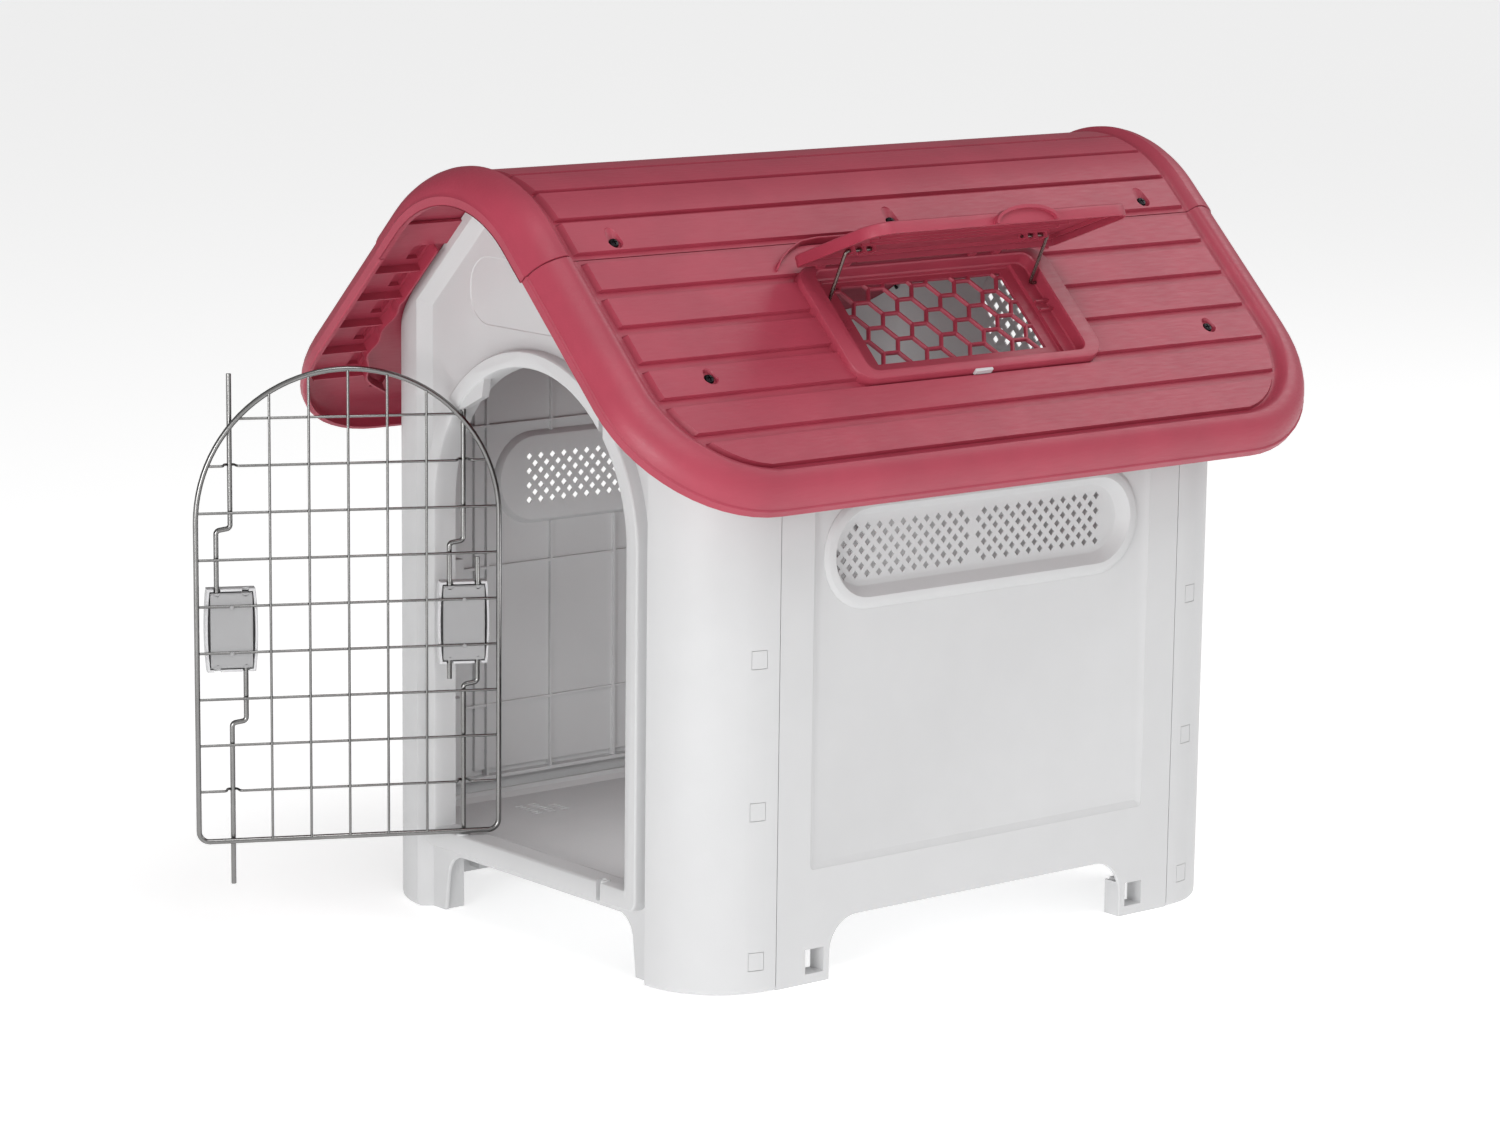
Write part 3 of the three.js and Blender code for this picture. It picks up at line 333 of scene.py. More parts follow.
def combine(obj, operation, other):
    """Joins, cuts or clips obj with another object, which is used up."""
    modifier = obj.modifiers.new("boolean", "BOOLEAN")
    modifier.operation = operation
    modifier.solver = "MANIFOLD"
    modifier.object = other
    graph = bpy.context.evaluated_depsgraph_get()
    result = bpy.data.meshes.new_from_object(obj.evaluated_get(graph))
    obj.modifiers.clear()
    obj.data = result
    bpy.data.objects.remove(other)
    return obj


# The shells handed to each of these three don't meet one another.
def join(obj, *shells):
    return combine(obj, "UNION", build("tool", *shells))


def cut(obj, *shells):
    return combine(obj, "DIFFERENCE", build("tool", *shells))


def clip(obj, *shells):
    return combine(obj, "INTERSECT", build("tool", *shells))


def turned(obj, name):
    """A copy turned half a turn about the middle of the house."""
    mesh = obj.data.copy()
    mesh.transform(Matrix.Translation((0, 2 * SHIFT, 0)) @ Matrix.Rotation(pi, 4, "Z"))
    return add_object(name, mesh)


def piece(obj, body, finish, *nodes, angle=30):
    """Shades obj, gives it its material and hangs it on its CAD body in place of the CAD nodes."""
    work = bmesh.new()
    work.from_mesh(obj.data)
    bmesh.ops.remove_doubles(work, verts=work.verts, dist=2e-6)
    bmesh.ops.dissolve_degenerate(work, edges=work.edges, dist=2e-6)
    work.to_mesh(obj.data)
    work.free()
    for polygon in obj.data.polygons:
        polygon.use_smooth = True
    obj.data.set_sharp_from_angle(angle=radians(angle))
    obj.data.materials.clear()
    obj.data.materials.append(MATERIALS[finish])
    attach(obj, body)
    if nodes:
        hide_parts(*nodes)
    return obj


# ---- materials
def add_node(tree, kind, values):
    """A shader node with constants on its sockets."""
    node = tree.nodes.new("ShaderNode" + kind)
    for name, value in values.items():
        node.inputs[name].default_value = value
    return node


def noise(tree, place, scale, detail=3):
    node = add_node(tree, "TexNoise", {"Scale": scale, "Detail": detail})
    tree.links.new(place, node.inputs["Vector"])
    return node.outputs["Fac"]


def spread(tree, value, low, high):
    """Map noise, which sits mostly between 0.3 and 0.7, onto low..high."""
    node = add_node(tree, "MapRange", {"From Min": 0.3, "From Max": 0.7, "To Min": low, "To Max": high})
    tree.links.new(value, node.inputs["Value"])
    return node.outputs["Result"]


def mottled(tree, place, colour, amount):
    """The colour, a little darker and lighter in soft patches some centimetres across."""
    mix = tree.nodes.new("ShaderNodeMix")
    mix.data_type = "RGBA"
    mix.inputs["A"].default_value = (*[c * (1 - amount) for c in colour], 1)
    mix.inputs["B"].default_value = (*[c * (1 + amount) for c in colour], 1)
    tree.links.new(spread(tree, noise(tree, place, 22, 5), 0, 1), mix.inputs["Factor"])
    return mix.outputs["Result"]


def material(name, colour, roughness, metallic=0.0, grain=0.12, scale=700, stretch=(1, 1, 1), mottle=0.03):
    """Plastic or metal with a fine grain, uneven gloss and slightly uneven colour."""
    made = bpy.data.materials.new(name)
    made.use_nodes = True
    tree = made.node_tree
    shader = tree.nodes["Principled BSDF"]
    shader.inputs["Metallic"].default_value = metallic
    where = tree.nodes.new("ShaderNodeTexCoord").outputs["Object"]
    mapping = add_node(tree, "Mapping", {"Scale": stretch})
    bump = add_node(tree, "Bump", {"Strength": grain, "Distance": 0.0004})
    tree.links.new(where, mapping.inputs["Vector"])
    fine = noise(tree, mapping.outputs["Vector"], scale)
    tree.links.new(fine, bump.inputs["Height"])
    tree.links.new(bump.outputs["Normal"], shader.inputs["Normal"])
    tree.links.new(mottled(tree, where, colour, mottle), shader.inputs["Base Color"])
    tree.links.new(spread(tree, fine, roughness * 0.85, roughness * 1.15), shader.inputs["Roughness"])
    return made


MATERIALS = {
    "shell_grey": material("shell_grey", (0.565, 0.567, 0.572), 0.46, grain=0.14, mottle=0.012),
    "roof_red": material("roof_red", (0.355, 0.040, 0.070), 0.44, grain=0.3, scale=620, stretch=(1, 0.1, 1),
                         mottle=0.06),
    "pale_plastic": material("pale_plastic", (0.56, 0.56, 0.57), 0.33),
    "grey_plastic": material("grey_plastic", (0.32, 0.32, 0.325), 0.42, scale=900),
    "zinc_wire": material("zinc_wire", (0.23, 0.228, 0.225), 0.22, metallic=1.0, scale=1500, mottle=0.12),
    "dark_steel": material("dark_steel", (0.19, 0.15, 0.14), 0.26, metallic=1.0, scale=1500, mottle=0.15),
    "black_steel": material("black_steel", (0.02, 0.02, 0.022), 0.33, metallic=1.0, scale=1500, mottle=0.1),
}


# ---- roof
# The rim's section: distance in from the outer edge, and level.
RIM_OUTER = [
    (0.8, 481.0), (0.0, 481.9), (0.0, 488.4), (0.5, 489.0), (1.4, 489.5), (1.9, 491.5), (2.8, 494.6),
    (4.4, 498.0), (6.8, 501.6), (9.8, 504.8), (13.4, 507.5), (17.2, 509.5), (20.8, 510.6),
]
RIM_DISH = [(24.0, 510.7), (26.2, 509.4), (28.0, 506.9), (29.4, 504.8), (30.8, 503.8), (32.0, GROOVE_N)]
RIM_UNDER = [(3.6, 476.0), (3.6, 488.5), (4.6, 493.0), (7.4, 497.2), (11.6, 499.8), (17.0, UNDER_N)]
UNDER_WALL_IN = 19.0  # how far the hanging wall stands in from the planks' ends
SCREW_LEVEL = -3.5
SCREW_S, SCREW_Y = -200.5, 276.6
CAP_SCREW_T, CAP_SCREW_Y = SEAM_T - 13.5, 293.2


def rim_ring(inset, n, side, past_seam=-0.9, steps=14):
    """The slope's outline at one level: straight at the seam, rounded at both lower corners."""
    end, half, radius = RIM_S - inset, RIM_Y - RIM_SPREAD * inset, RIM_R - inset
    points = [(SEAM_S - past_seam, half), (SEAM_S - past_seam, -half)]
    for first, y in ((-pi / 2, -half + radius), (0, half - radius)):
        points += arc(end - radius, y, radius, first, pi / 2, steps)
    return [on_slope(s, y, n, side) for s, y in points]


def plank_half(s):
    """How far a plank reaches along Y, following the rim's rounded corners."""
    start, reach = -198.0, 87.5
    if s <= start:
        return 332.0
    return 252.0 + 80.0 * sqrt(max(0.0, 1 - ((s - start) / reach) ** 2))


def slope_planks(side):
    """Six boards with grooves between them."""
    shells = []
    for k in range(6):
        top = PLANK_TOP_S + PLANK_TOP_PITCH * k
        bottom = PLANK_END_S + PLANK_PITCH * k
        rows = 2 if k < 3 else 14
        us = [top + 1.8 + (bottom - top - 1.8) * i / (rows - 1) for i in range(rows)]
        shells.append(raised(plank_face(side), us, plank_half, PLANK_N - GROOVE_N, (1.8, 0.9), 3.6))
    return shells


def ribbon(path, half_width, low, high, side):
    """A thin upright wall under a slope, along (s, y) points."""
    rings = []
    for i, p in enumerate(path):
        along = heading(path, i)
        across = Vector((-along.y, along.x)) * half_width
        rings.append([on_slope(p.x + k * across.x, p.y + k * across.y, n, side)
                      for k, n in ((1, low), (1, high), (-1, high), (-1, low))])
    return loft(rings)


def under_walls(side):
    """The long wall that hangs inside each end's rim and curls in at the corner."""
    shells = []
    for end in (-1, 1):
        path = []
        for k in range(40):
            s = SEAM_S + 8 + 5.2 * k
            wave = 2.2 * cos((s - PLANK_TOP_S) / PLANK_PITCH * 2 * pi) if s > -250 else 0.0
            path.append(Vector((s, end * (plank_half(s) - UNDER_WALL_IN + wave))))
        shells.append(ribbon(path, 0.9, 490.5, UNDER_N + 0.6, side))
    return shells


def under_ribs(side):
    """Short ribs from that wall out to the rim, one below each groove."""
    shells = []
    for end in (-1, 1):
        for k in range(5):
            s = GROOVE_S + PLANK_PITCH * k
            near, far = plank_half(s) - UNDER_WALL_IN, min(plank_half(s) + 36.0, 368.0)
            path = [Vector((s, end * near)), Vector((s, end * far))]
            shells.append(ribbon(path, 0.8, 493.5, UNDER_N + 0.7, side))
    return shells


def plank_pockets(side):
    """Shallow hollows under the planks' outer ends."""
    shells = []
    place = lambda s, y, n: on_slope(s, y, n, side)
    for end in (-1, 1):
        for k in range(6):
            bottom = PLANK_END_S + PLANK_PITCH * k
            half = plank_half(bottom - 4)
            shells.append(block(place, bottom - 25, bottom - 3.5, *span(end, half - 15.0, half - 3.0),
                                UNDER_N - 3, 505.0))
    return shells


def drop(place, u, y, uphill, rings):
    """A teardrop with its round end at (u, y): rings of radius, length of the tail, height."""
    outlines = []
    for radius, tail, height in rings:
        outline = []
        for k in range(24):
            angle = 2 * pi * (k + 0.5) / 24
            across, along = radius * sin(angle), radius * cos(angle)
            if along > 0:
                across, along = across * 0.8, along + tail
            outline.append(place(u + uphill * along, y + across, height))
        outlines.append(outline)
    return loft(outlines)


def screw_well(place, u, y, uphill, tail):
    """The hollow round a screw, flared at its mouth and drawn out uphill."""
    rings = [(6.2, 1.0, SCREW_LEVEL), (6.9, tail, -0.8), (7.3, tail + 0.2, 0.1), (8.0, tail + 1, 4)]
    return drop(place, u, y, uphill, rings)


def screw_boss(place, u, y, uphill):
    """Thickens the skin below a well."""
    levels = (SCREW_LEVEL - 2.3, GROOVE_N - PLANK_N - 0.5)
    return drop(place, u, y, uphill, [(8.8, 8.0, level) for level in levels])


def roof_panel(name, side):
    """One slope: the rim, its dished field with planks on it, and the ribs and seam ledge below."""
    place = lambda s, y, n: on_slope(s, y, n, side)
    panel = build(name, loft([rim_ring(inset, n, side) for inset, n in RIM_OUTER]))
    cut(panel, loft([rim_ring(inset, n, side, 6) for inset, n in RIM_UNDER]))
    cut(panel, loft([rim_ring(inset, n, side, 6) for inset, n in [(22.4, 513.0)] + RIM_DISH]))
    join(panel, *slope_planks(side))
    cut(panel, *plank_pockets(side))
    join(panel, *under_walls(side))
    join(panel, *under_ribs(side))
    join(panel, block(place, SEAM_S - 22, SEAM_S + 8, -366, 366, 497.6, 500.4))
    join(panel, block(place, SEAM_S + 2, SEAM_S + 8, -366, 366, 497.7, UNDER_N + 0.5))
    join(panel, *[screw_boss(plank_face(side), SCREW_S, y, -1) for y in (-SCREW_Y, SCREW_Y)])
    return panel


def cap_ring(y, height, low, reach=SEAM_T):
    """The cap's cross-section at y, closed along a lower line."""
    steps = 44
    ts = [-reach + 2 * reach * k / steps for k in range(steps + 1)]
    return [on_cap(t, y, height) for t in ts] + [on_cap(t, y, low) for t in reversed(ts)]


def cap_skin(section, low, reach=SEAM_T):
    """A loft along Y through the cap's cross-sections, from (y, height) stations at one end."""
    stations = [(-y, h) for y, h in section] + [(y, h) for y, h in reversed(section)]
    return loft([cap_ring(y, h, low, reach) for y, h in stations])


def cap_planks():
    """Boards along the crest and three more down each side."""
    planks = []
    for side in (-1, 0, 1):
        for t0, t1 in ([(25.7, 56.8), (61.4, 93.6), (99.0, 129.6)] if side else [(-20.6, 20.6)]):
            us = [t0 + (t1 - t0) * k / 10 for k in range(11)]
            slopes = (1.8, 0.9) if side else (0.9, 0.9)
            if side < 0:
                us, slopes = [-u for u in reversed(us)], (0.9, 1.8)
            planks.append(raised(on_cap, us, lambda u: 334.5, PLANK_N - GROOVE_N, slopes, 4.0))
    return planks


def ridge_cap():
    """The rounded middle of the roof, its ends rimmed like the slopes'."""
    ends = [(RIM_Y + 1.0 - RIM_SPREAD * d, n + (0.8 if n > 489 and d < 26 else 0) - PLANK_N)
            for d, n in RIM_OUTER + RIM_DISH]
    cap = build("ridge_cap_shell", cap_skin(ends, -26.6))
    inner = [(RIM_Y - RIM_SPREAD * d, n - PLANK_N) for d, n in RIM_UNDER[1:]]
    inner[0] = (inner[0][0], -22.0)
    cut(cap, cap_skin(inner, -45.0, SEAM_T + 4))
    join(cap, *cap_planks())
    spots = [(side, y) for side in (-1, 1) for y in (-CAP_SCREW_Y, 0, CAP_SCREW_Y)]
    join(cap, *[screw_boss(on_cap, side * CAP_SCREW_T, y, -side) for side, y in spots])
    cut(cap, *[screw_well(on_cap, side * CAP_SCREW_T, y, -side, 7.0) for side, y in spots])
    return cap


def screw(place, u, y, node):
    """A dark cross-head screw standing square to the roof in its well."""
    base, above = place(u, y, SCREW_LEVEL), place(u, y, 0)
    head = [(1.5, -9), (1.5, 0), (4.3, 0.2), (4.4, 1.2), (3.6, 2.3), (1.6, 2.7)]
    obj = build(f"{node}_head", disc(base, (above - base).normalized(), head, 24))
    low, high = SCREW_LEVEL + 1.2, SCREW_LEVEL + 4
    for half_u, half_y in ((2.7, 0.55), (0.55, 2.7)):
        cut(obj, block(place, u - half_u, u + half_u, y - half_y, y + half_y, low, high))
    return piece(obj, "house", "black_steel", node, angle=40)


# ---- skylight
HEX_PITCH, HEX_STEP, HEX_BAR, HEX_S = 26.6, 23.85, 3.0, -254.8
FRAME = (-299.0, -178.0, 138.0, 21.0)  # upper and lower edge, half length, corner radius
MOUTH = (-291.5, -187.0, 119.5, 9.0)
KNUCKLES = (-97.5, 69.5)
KNUCKLE_NEAR, KNUCKLE_FAR = 9.4, 18.0
GRILLE = (-285, -203, -93.5, 93.5)


def hexagons():
    """The grille's holes, in staggered columns."""
    shells = []
    radius = (HEX_PITCH - HEX_BAR) / sqrt(3)
    levels = [(radius, 484.0), (radius, 496.0), (radius + 0.8, 497.0), (radius + 0.8, 500.0)]
    for column in range(-4, 5):
        for row in range(-2, 3):
            s = HEX_S + (row + (0 if column % 2 else 0.5)) * HEX_PITCH
            y = column * HEX_STEP
            turns = [radians(60 * k) for k in range(6)]
            shells.append(loft([[on_slope(s + r * sin(turn), y + 1.04 * r * cos(turn), n)
                                 for turn in turns] for r, n in levels]))
    return shells


def skylight_frame(panel):
    """A raised frame round a pocket, with the grille in the pocket's floor."""
    s0, s1, half, corner = FRAME
    outer = lambda inset: rectangle(s0, s1, -half, half, corner, inset, 8)
    join(panel, layers(outer, [(-1.0, 501.6), (-0.6, 505), (0, 511.6), (0.5, 512.6), (1.7, 513.1)], on_slope))
    m0, m1, mouth, m_corner = MOUTH
    join(panel, block(on_slope, m0 - 3, m1 + 3, -mouth - 3, mouth + 3, 493.8, 508))
    opening = lambda inset: rectangle(m0, m1, -mouth, mouth, m_corner, inset, 6)
    flare = [(1.2, 500.8), (0, 502.0), (-0.4, 511.8), (-1.3, 513.0), (-2.0, 517)]
    cut(panel, layers(opening, flare, on_slope))
    floor = lambda inset: rectangle(m0 + 1.5, m1 - 1.5, -105.8, 105.8, 2.5, inset, 4)
    cut(panel, layers(floor, [(0.6, 497.0), (0, 497.5), (0, 503)], on_slope))
    holes = build("holes", *hexagons())
    clip(holes, block(on_slope, *GRILLE, 470, 515))
    combine(panel, "DIFFERENCE", holes)


def rain_guard():
    """A raised lip that bends round the hinge side of the frame."""
    guard = [(-299.0, -151.5), (-306.0, -145.5), (-316.0, -131.0), (-324.0, -114.0), (-326.4, -96.0)]
    line = guard + [(-326.4, 0.0)] + [(s, -y) for s, y in reversed(guard)]
    path = bent([Vector((s, y, 0)) for s, y in line], 22, 4)
    section = ((1.2, 502.4), (0.8, 512.4), (0.3, 513), (-0.3, 513), (-0.8, 512.4), (-1.2, 502.4))
    rings = []
    for i, p in enumerate(path):
        along = heading(path, i)
        out = Vector((-along.y, along.x, 0)) * 1.1
        end_drop = 4.0 if i in (0, len(path) - 1) else 0.0
        rings.append([on_slope(p.x + out.x * w, p.y + out.y * w, n - (end_drop if n > 505 else 0))
                      for w, n in section])
    return loft(rings)


def frame_knuckles(panel):
    """The frame's half of the lid's hinges, two eyes on stems at each."""
    for y in KNUCKLES:
        spans = [span(side, KNUCKLE_NEAR, KNUCKLE_FAR, y) for side in (-1, 1)]
        join(panel, *[rod(on_slope(LID_S, y0, LID_N), on_slope(LID_S, y1, LID_N), 3.9, 20)
                      for y0, y1 in spans])
        join(panel, *[block(on_slope, LID_S - 2.0, LID_S + 3.4, y0, y1, 511, LID_N - 0.4)
                      for y0, y1 in spans])


def add_skylight(panel):
    skylight_frame(panel)
    join(panel, rain_guard())
    join(panel, *[block(on_slope, s, s + 1.5, *span(end, 105.0, 120.5), 500, 504.5)
                  for end in (-1, 1) for s in (-247.5, -238.5)])
    frame_knuckles(panel)


# ---- lid
LID_A1, LID_HALF, LID_CORNER = 111.0, 143.5, 22.0
PROP_A, PROP_LENGTH, PROP_TURN, PROP_Y = 34.0, 48.03, radians(135.68), 112.0
GRIP_Y, GRIP_B = 17.0, -4.0


def lid_plate():
    """The lid's top, open below and along its hinge edge."""
    def outline(start, corner):
        radii = [corner, LID_CORNER, LID_CORNER, corner]
        return lambda inset: rectangle(start, LID_A1, -LID_HALF, LID_HALF, radii, inset, 9)

    top = [(0.5, -4.5), (0, -4.1), (0, 3.6), (0.5, 5.0), (1.8, 5.9)]
    lid = build("skylight_lid_shell", layers(outline(-2.5, 14), top, on_lid))
    cut(lid, layers(outline(4.5, 3), [(2.6, -9), (2.6, 1.6), (3.6, 2.6)], on_lid))
    cut(lid, block(on_lid, -6, 4.6, -LID_HALF - 1, LID_HALF + 1, -8, 2.4))
    return lid


def lid_underside(lid):
    """A raised border, cross ribs, and the lugs that hold the props."""
    border = lambda inset: rectangle(12, 100, -132, 132, [4, 12, 12, 4], inset, 6)
    ring = build("ring", layers(border, [(0, -0.6), (0, 3.2)], on_lid))
    cut(ring, layers(border, [(1.8, -3), (1.8, 5)], on_lid))
    combine(lid, "UNION", ring)
    join(lid, *[block(on_lid, a, a + 1.6, -104, 104, 0.4, 3.2) for a in (44, 56, 68, 80)])
    join(lid, *[block(on_lid, PROP_A - 4.5, PROP_A + 4.5, side * y - 1.1, side * y + 1.1, -3.0, 3.2)
                for side in (-1, 1) for y in (84.0, 95.0, 106.5)])


def finger_grip(lid):
    """A bowed strap on the free edge, with a sunk web under it."""
    def bow(half, rise):
        angles = [pi * k / 16 for k in range(17)]
        return [(GRIP_Y - half * cos(angle), GRIP_B + rise * sin(angle)) for angle in angles]

    edge = lambda y, b, a: on_lid(a, y, b)
    strap = bow(35, 14.0) + list(reversed(bow(32, 11.2)))
    join(lid, prism(bow(33, 12.0), LID_A1 - 4, LID_A1 + 1.2, edge))
    join(lid, prism(strap, LID_A1 - 4, LID_A1 + 5.0, edge))


def lid_knuckles(lid):
    """Room for the frame's knuckles, and the lid's own between them."""
    for y in KNUCKLES:
        cut(lid, *[block(on_lid, -6, 6.5, *span(side, 9.0, 19.0, y), -8, 8) for side in (-1, 1)])
        join(lid, rod(on_lid(0, y - 9, 0), on_lid(0, y + 9, 0), 3.4, 20))
    join(lid, *[block(on_lid, -2.2, 3.5, y - 9, y + 9, 0.5, 4) for y in KNUCKLES])


def skylight_lid():
    lid = lid_plate()
    lid_underside(lid)
    finger_grip(lid)
    lid_knuckles(lid)
    return piece(lid, "lid", "roof_red", "skylight_lid", angle=32)


def lid_prop(name, side):
    """A bent wire: a pivot pin through the lid's lugs, a leg, and a short foot."""
    at = lambda along, y: on_lid(PROP_A + along * cos(PROP_TURN), y, -along * sin(PROP_TURN))
    points = [at(0, side * 81.5), at(0, side * PROP_Y), at(PROP_LENGTH, side * PROP_Y),
              at(PROP_LENGTH, side * (PROP_Y + 6.5))]
    obj = build(name + "_wire", tube(bent(points, 3.0), 1.5, 14))
    return piece(obj, name.replace("lid_", ""), "dark_steel", name, angle=40)


def hinge_pin(name, y):
    """A straight pin through one pair of knuckles."""
    ends = [on_slope(LID_S, y + reach, LID_N) for reach in (-19.5, 19.5)]
    return piece(build(name + "_rod", rod(*ends, 2.4, 16)), "house", "dark_steel", name, angle=50)


def lid_catch():
    """A small pale plate on the frame's lower edge."""
    outline = lambda inset: rectangle(-12.2, 7.2, 506.5, 512.0, 0.8, inset, 3)
    lower_edge = lambda y, n, s: on_slope(s, y, n)
    plate = layers(outline, [(0, -178.2), (0, -176.4), (0.6, -175.8)], lower_edge)
    return piece(build("lid_catch_plate", plate), "house", "pale_plastic", "lid_catch")


# ---- walls
VENT_Z = 352.0
OPEN_HALF, OPEN_ARC_Z, SILL_Z = 132.0, 356.5, 75.5
FOOT_TOP = 51.0
CLIP_Y, CLIP_Z = 241.2, (26.9, 151.4, 276.3)
SCREEN_X = 222.0
GABLE_VENT_Z = 487.8
INSIDE_X = HALF_X - SKIN


def under_roof(n):
    """Everything below both slopes and the rounded ridge."""
    radius = RIDGE_R - (PLANK_N - n) - 0.8
    reach = HALF_X + 40
    eaves = (n - reach * SA) / CA
    ridge = arc(0, RIDGE_Z, radius, pi / 2 - SLOPE, 2 * SLOPE, 24)
    outline = [(-reach, -20), (reach, -20), (reach, eaves)] + ridge + [(-reach, eaves)]
    return prism(outline, -500, 500, on_front)


def wall_plan(inset, edge_x, face_y=None, steps=18):
    """An end panel's plan: corner columns, and between them the front, set back to face_y if given."""
    radius = CORNER_R - inset
    half = [(HALF_X - inset, -SEAM_Y + (1 if inset else 0))]
    half += arc(HALF_X - CORNER_R, CORNER_R - FRONT_Y, radius, 0, -pi / 2, steps)
    half.append((edge_x, -FRONT_Y + inset))
    if face_y is not None:
        half.append((edge_x - 10, face_y))
    return half + [(-x, y) for x, y in reversed(half)]


def gable_outline(half, n, bottom=-12.0):
    """A five-sided face: upright sides up to the level n of both slopes."""
    shoulder = (n - half * SA) / CA
    return [(-half, bottom), (half, bottom), (half, shoulder), (0, n / CA), (-half, shoulder)]


def foot_gap(half_top, half_foot, radius, inset=0.0):
    """The opening between two feet, rounded at the top."""
    corners = [(-half_foot, -30), (half_foot, -30), (half_top, FOOT_TOP), (-half_top, FOOT_TOP)]
    return rounded(corners, [0.1, 0.1, radius, radius], inset, 10)


def gable_vent(panel):
    """The back panel's vent: a low ring round a thin screen of diamond holes, seen through the skylight."""
    outline = lambda *size: lambda inset: stadium(GABLE_VENT_Z, *size, inset)
    join(panel, layers(outline(104, 43), [(0, 287), (0, 290.3), (1.5, 292), (3, 292)], on_front))
    join(panel, layers(outline(101, 40), [(6, 283.6), (4.5, 284), (1, 287.5)], on_front))
    cut(panel, layers(outline(97, 36), [(3.5, 285), (2.8, 285.6), (0.5, 291), (0, 293)], on_front))
    shells = []
    first, pitch_x, pitch_z = 514.5, 15.6, 7.65
    for row in range(8):
        z = first - pitch_z * row
        for column in range(-5 - row % 2, 6):
            x = pitch_x * (column + 0.5 * (row % 2))
            if abs(x) + 0.5 * abs(z - GABLE_VENT_Z) < 90:
                shells.append(prism(diamond(x, z, 4.0, 4.3), 275, 290, on_front))
    cut(panel, *shells)


def diamond(x, y, half_x, half_y):
    return [(x, y - half_y), (x + half_x, y), (x, y + half_y), (x - half_x, y)]


def doorway_in(panel):
    """The arched opening with a proud ring, a lintel web, and seats for the door's rods."""
    ring = lambda inset: arch(147.5, 58.5, 355.5, inset, 9)
    join(panel, layers(ring, [(0, 279), (0, 299.2), (0.4, 300.2), (1.4, 301)], on_front))
    opening = lambda inset: arch(OPEN_HALF, SILL_Z, OPEN_ARC_Z, inset, 1.0)
    cut(panel, layers(opening, [(0, 262), (0, 298.6), (-1.0, 300.4), (-2.4, 301.2), (-3, 304)], on_front))
    web = [(-107, 439), (-90, 445.5), (-66, 457), (-62, 478), (-85, 470), (-104, 452)]
    join(panel, prism(web, 291.9, 299.3, on_front))
    seat = [(6, 0), (6, 1.6), (5.4, 2.2)]
    join(panel, *[disc((x, DOOR_Y, 74.5), (0, 0, 1), seat, 24) for x in (DOOR_X, -DOOR_X)])
    holes = ((DOOR_X, 60, 24), (-DOOR_X, 34, 50), (DOOR_X, 430, 37), (-DOOR_X, 420, 62))
    cut(panel, *[disc((x, DOOR_Y, z), (0, 0, 1), [(2.7, 0), (2.7, length)], 20) for x, z, length in holes])
    cut(panel, *[block(flat, -DOOR_X - 2.7, -DOOR_X + 2.7, -306, DOOR_Y, z0, z1)
                 for z0, z1 in ((34, 84), (420, 482))])


def gable_plate(panel):
    """A faint rounded panel in the front gable."""
    plate = lambda inset: rounded([(-97, 516), (97, 516), (97, 574), (-97, 574)], 26, inset, 8)
    cut(panel, layers(plate, [(0.9, 288.3), (0, 289.2), (0, 295)], on_front))


def end_panel(name, doorway):
    """An end wall with its two corner columns, cut to the roof's shape."""
    base = ((3.0, 0.0), (1.6, 0.5), (0.5, 1.8), (0.0, 4.0), (0.0, 700.0))
    panel = build(name, loft([[flat(x, y, z) for x, y in wall_plan(inset, 150)] for inset, z in base]))
    # the sunk face between the columns and under the gable's band
    face = lambda inset: gable_outline(159.4 - inset, 491.0 - inset)
    cut(panel, layers(face, [(-1.5, 301.5), (0, 300.0), (8.2, 289.4), (8.8, 289.0)], on_front))
    cut(panel, prism(wall_plan(SKIN, 161.5, -FRONT_Y + 14), -20, 710, flat))
    gap = lambda inset: foot_gap(127, 136.5, 21, inset)
    cut(panel, layers(gap, [(0, 200), (0, 287.5), (-1.2, 289.2), (-1.2, 310)], on_front))
    join(panel, *[block(flat, *span(side, 135.0, 138.0), -288.5, -268, 0, 62) for side in (-1, 1)])
    join(panel, block(flat, -134, 134, -288.0, -272, FOOT_TOP - 0.2, FOOT_TOP + 2.8))
    if doorway:
        doorway_in(panel)
        gable_plate(panel)
    else:
        gable_vent(panel)
    # windows for the side walls' clips
    cut(panel, *[block(flat, *span(side, HALF_X - 10, HALF_X + 6), -CLIP_Y - 7.0, -CLIP_Y + 7.0,
                       z - 7.7, z + 7.7) for side in (-1, 1) for z in CLIP_Z])
    clip(panel, under_roof(WALL_TOP_N))
    return panel


def diamonds():
    """Seven staggered rows of small diamond holes; every other row leaves one out near the middle."""
    shells = []
    half_y, half_z, pitch_y, pitch_z = 3.3, 3.45, 12.8, 6.5
    first = -134.4
    for row in range(7):
        z = VENT_Z + (3 - row) * pitch_z
        for column in range(0 if row < 2 else -1, 22):
            if column == 10 and row % 2 == 0:
                continue
            y = first + (column - 0.5 * (row % 2)) * pitch_y
            shells.append(prism(diamond(y, z, half_y, half_z), SCREEN_X - 12, SCREEN_X + 6, on_side))
    return shells


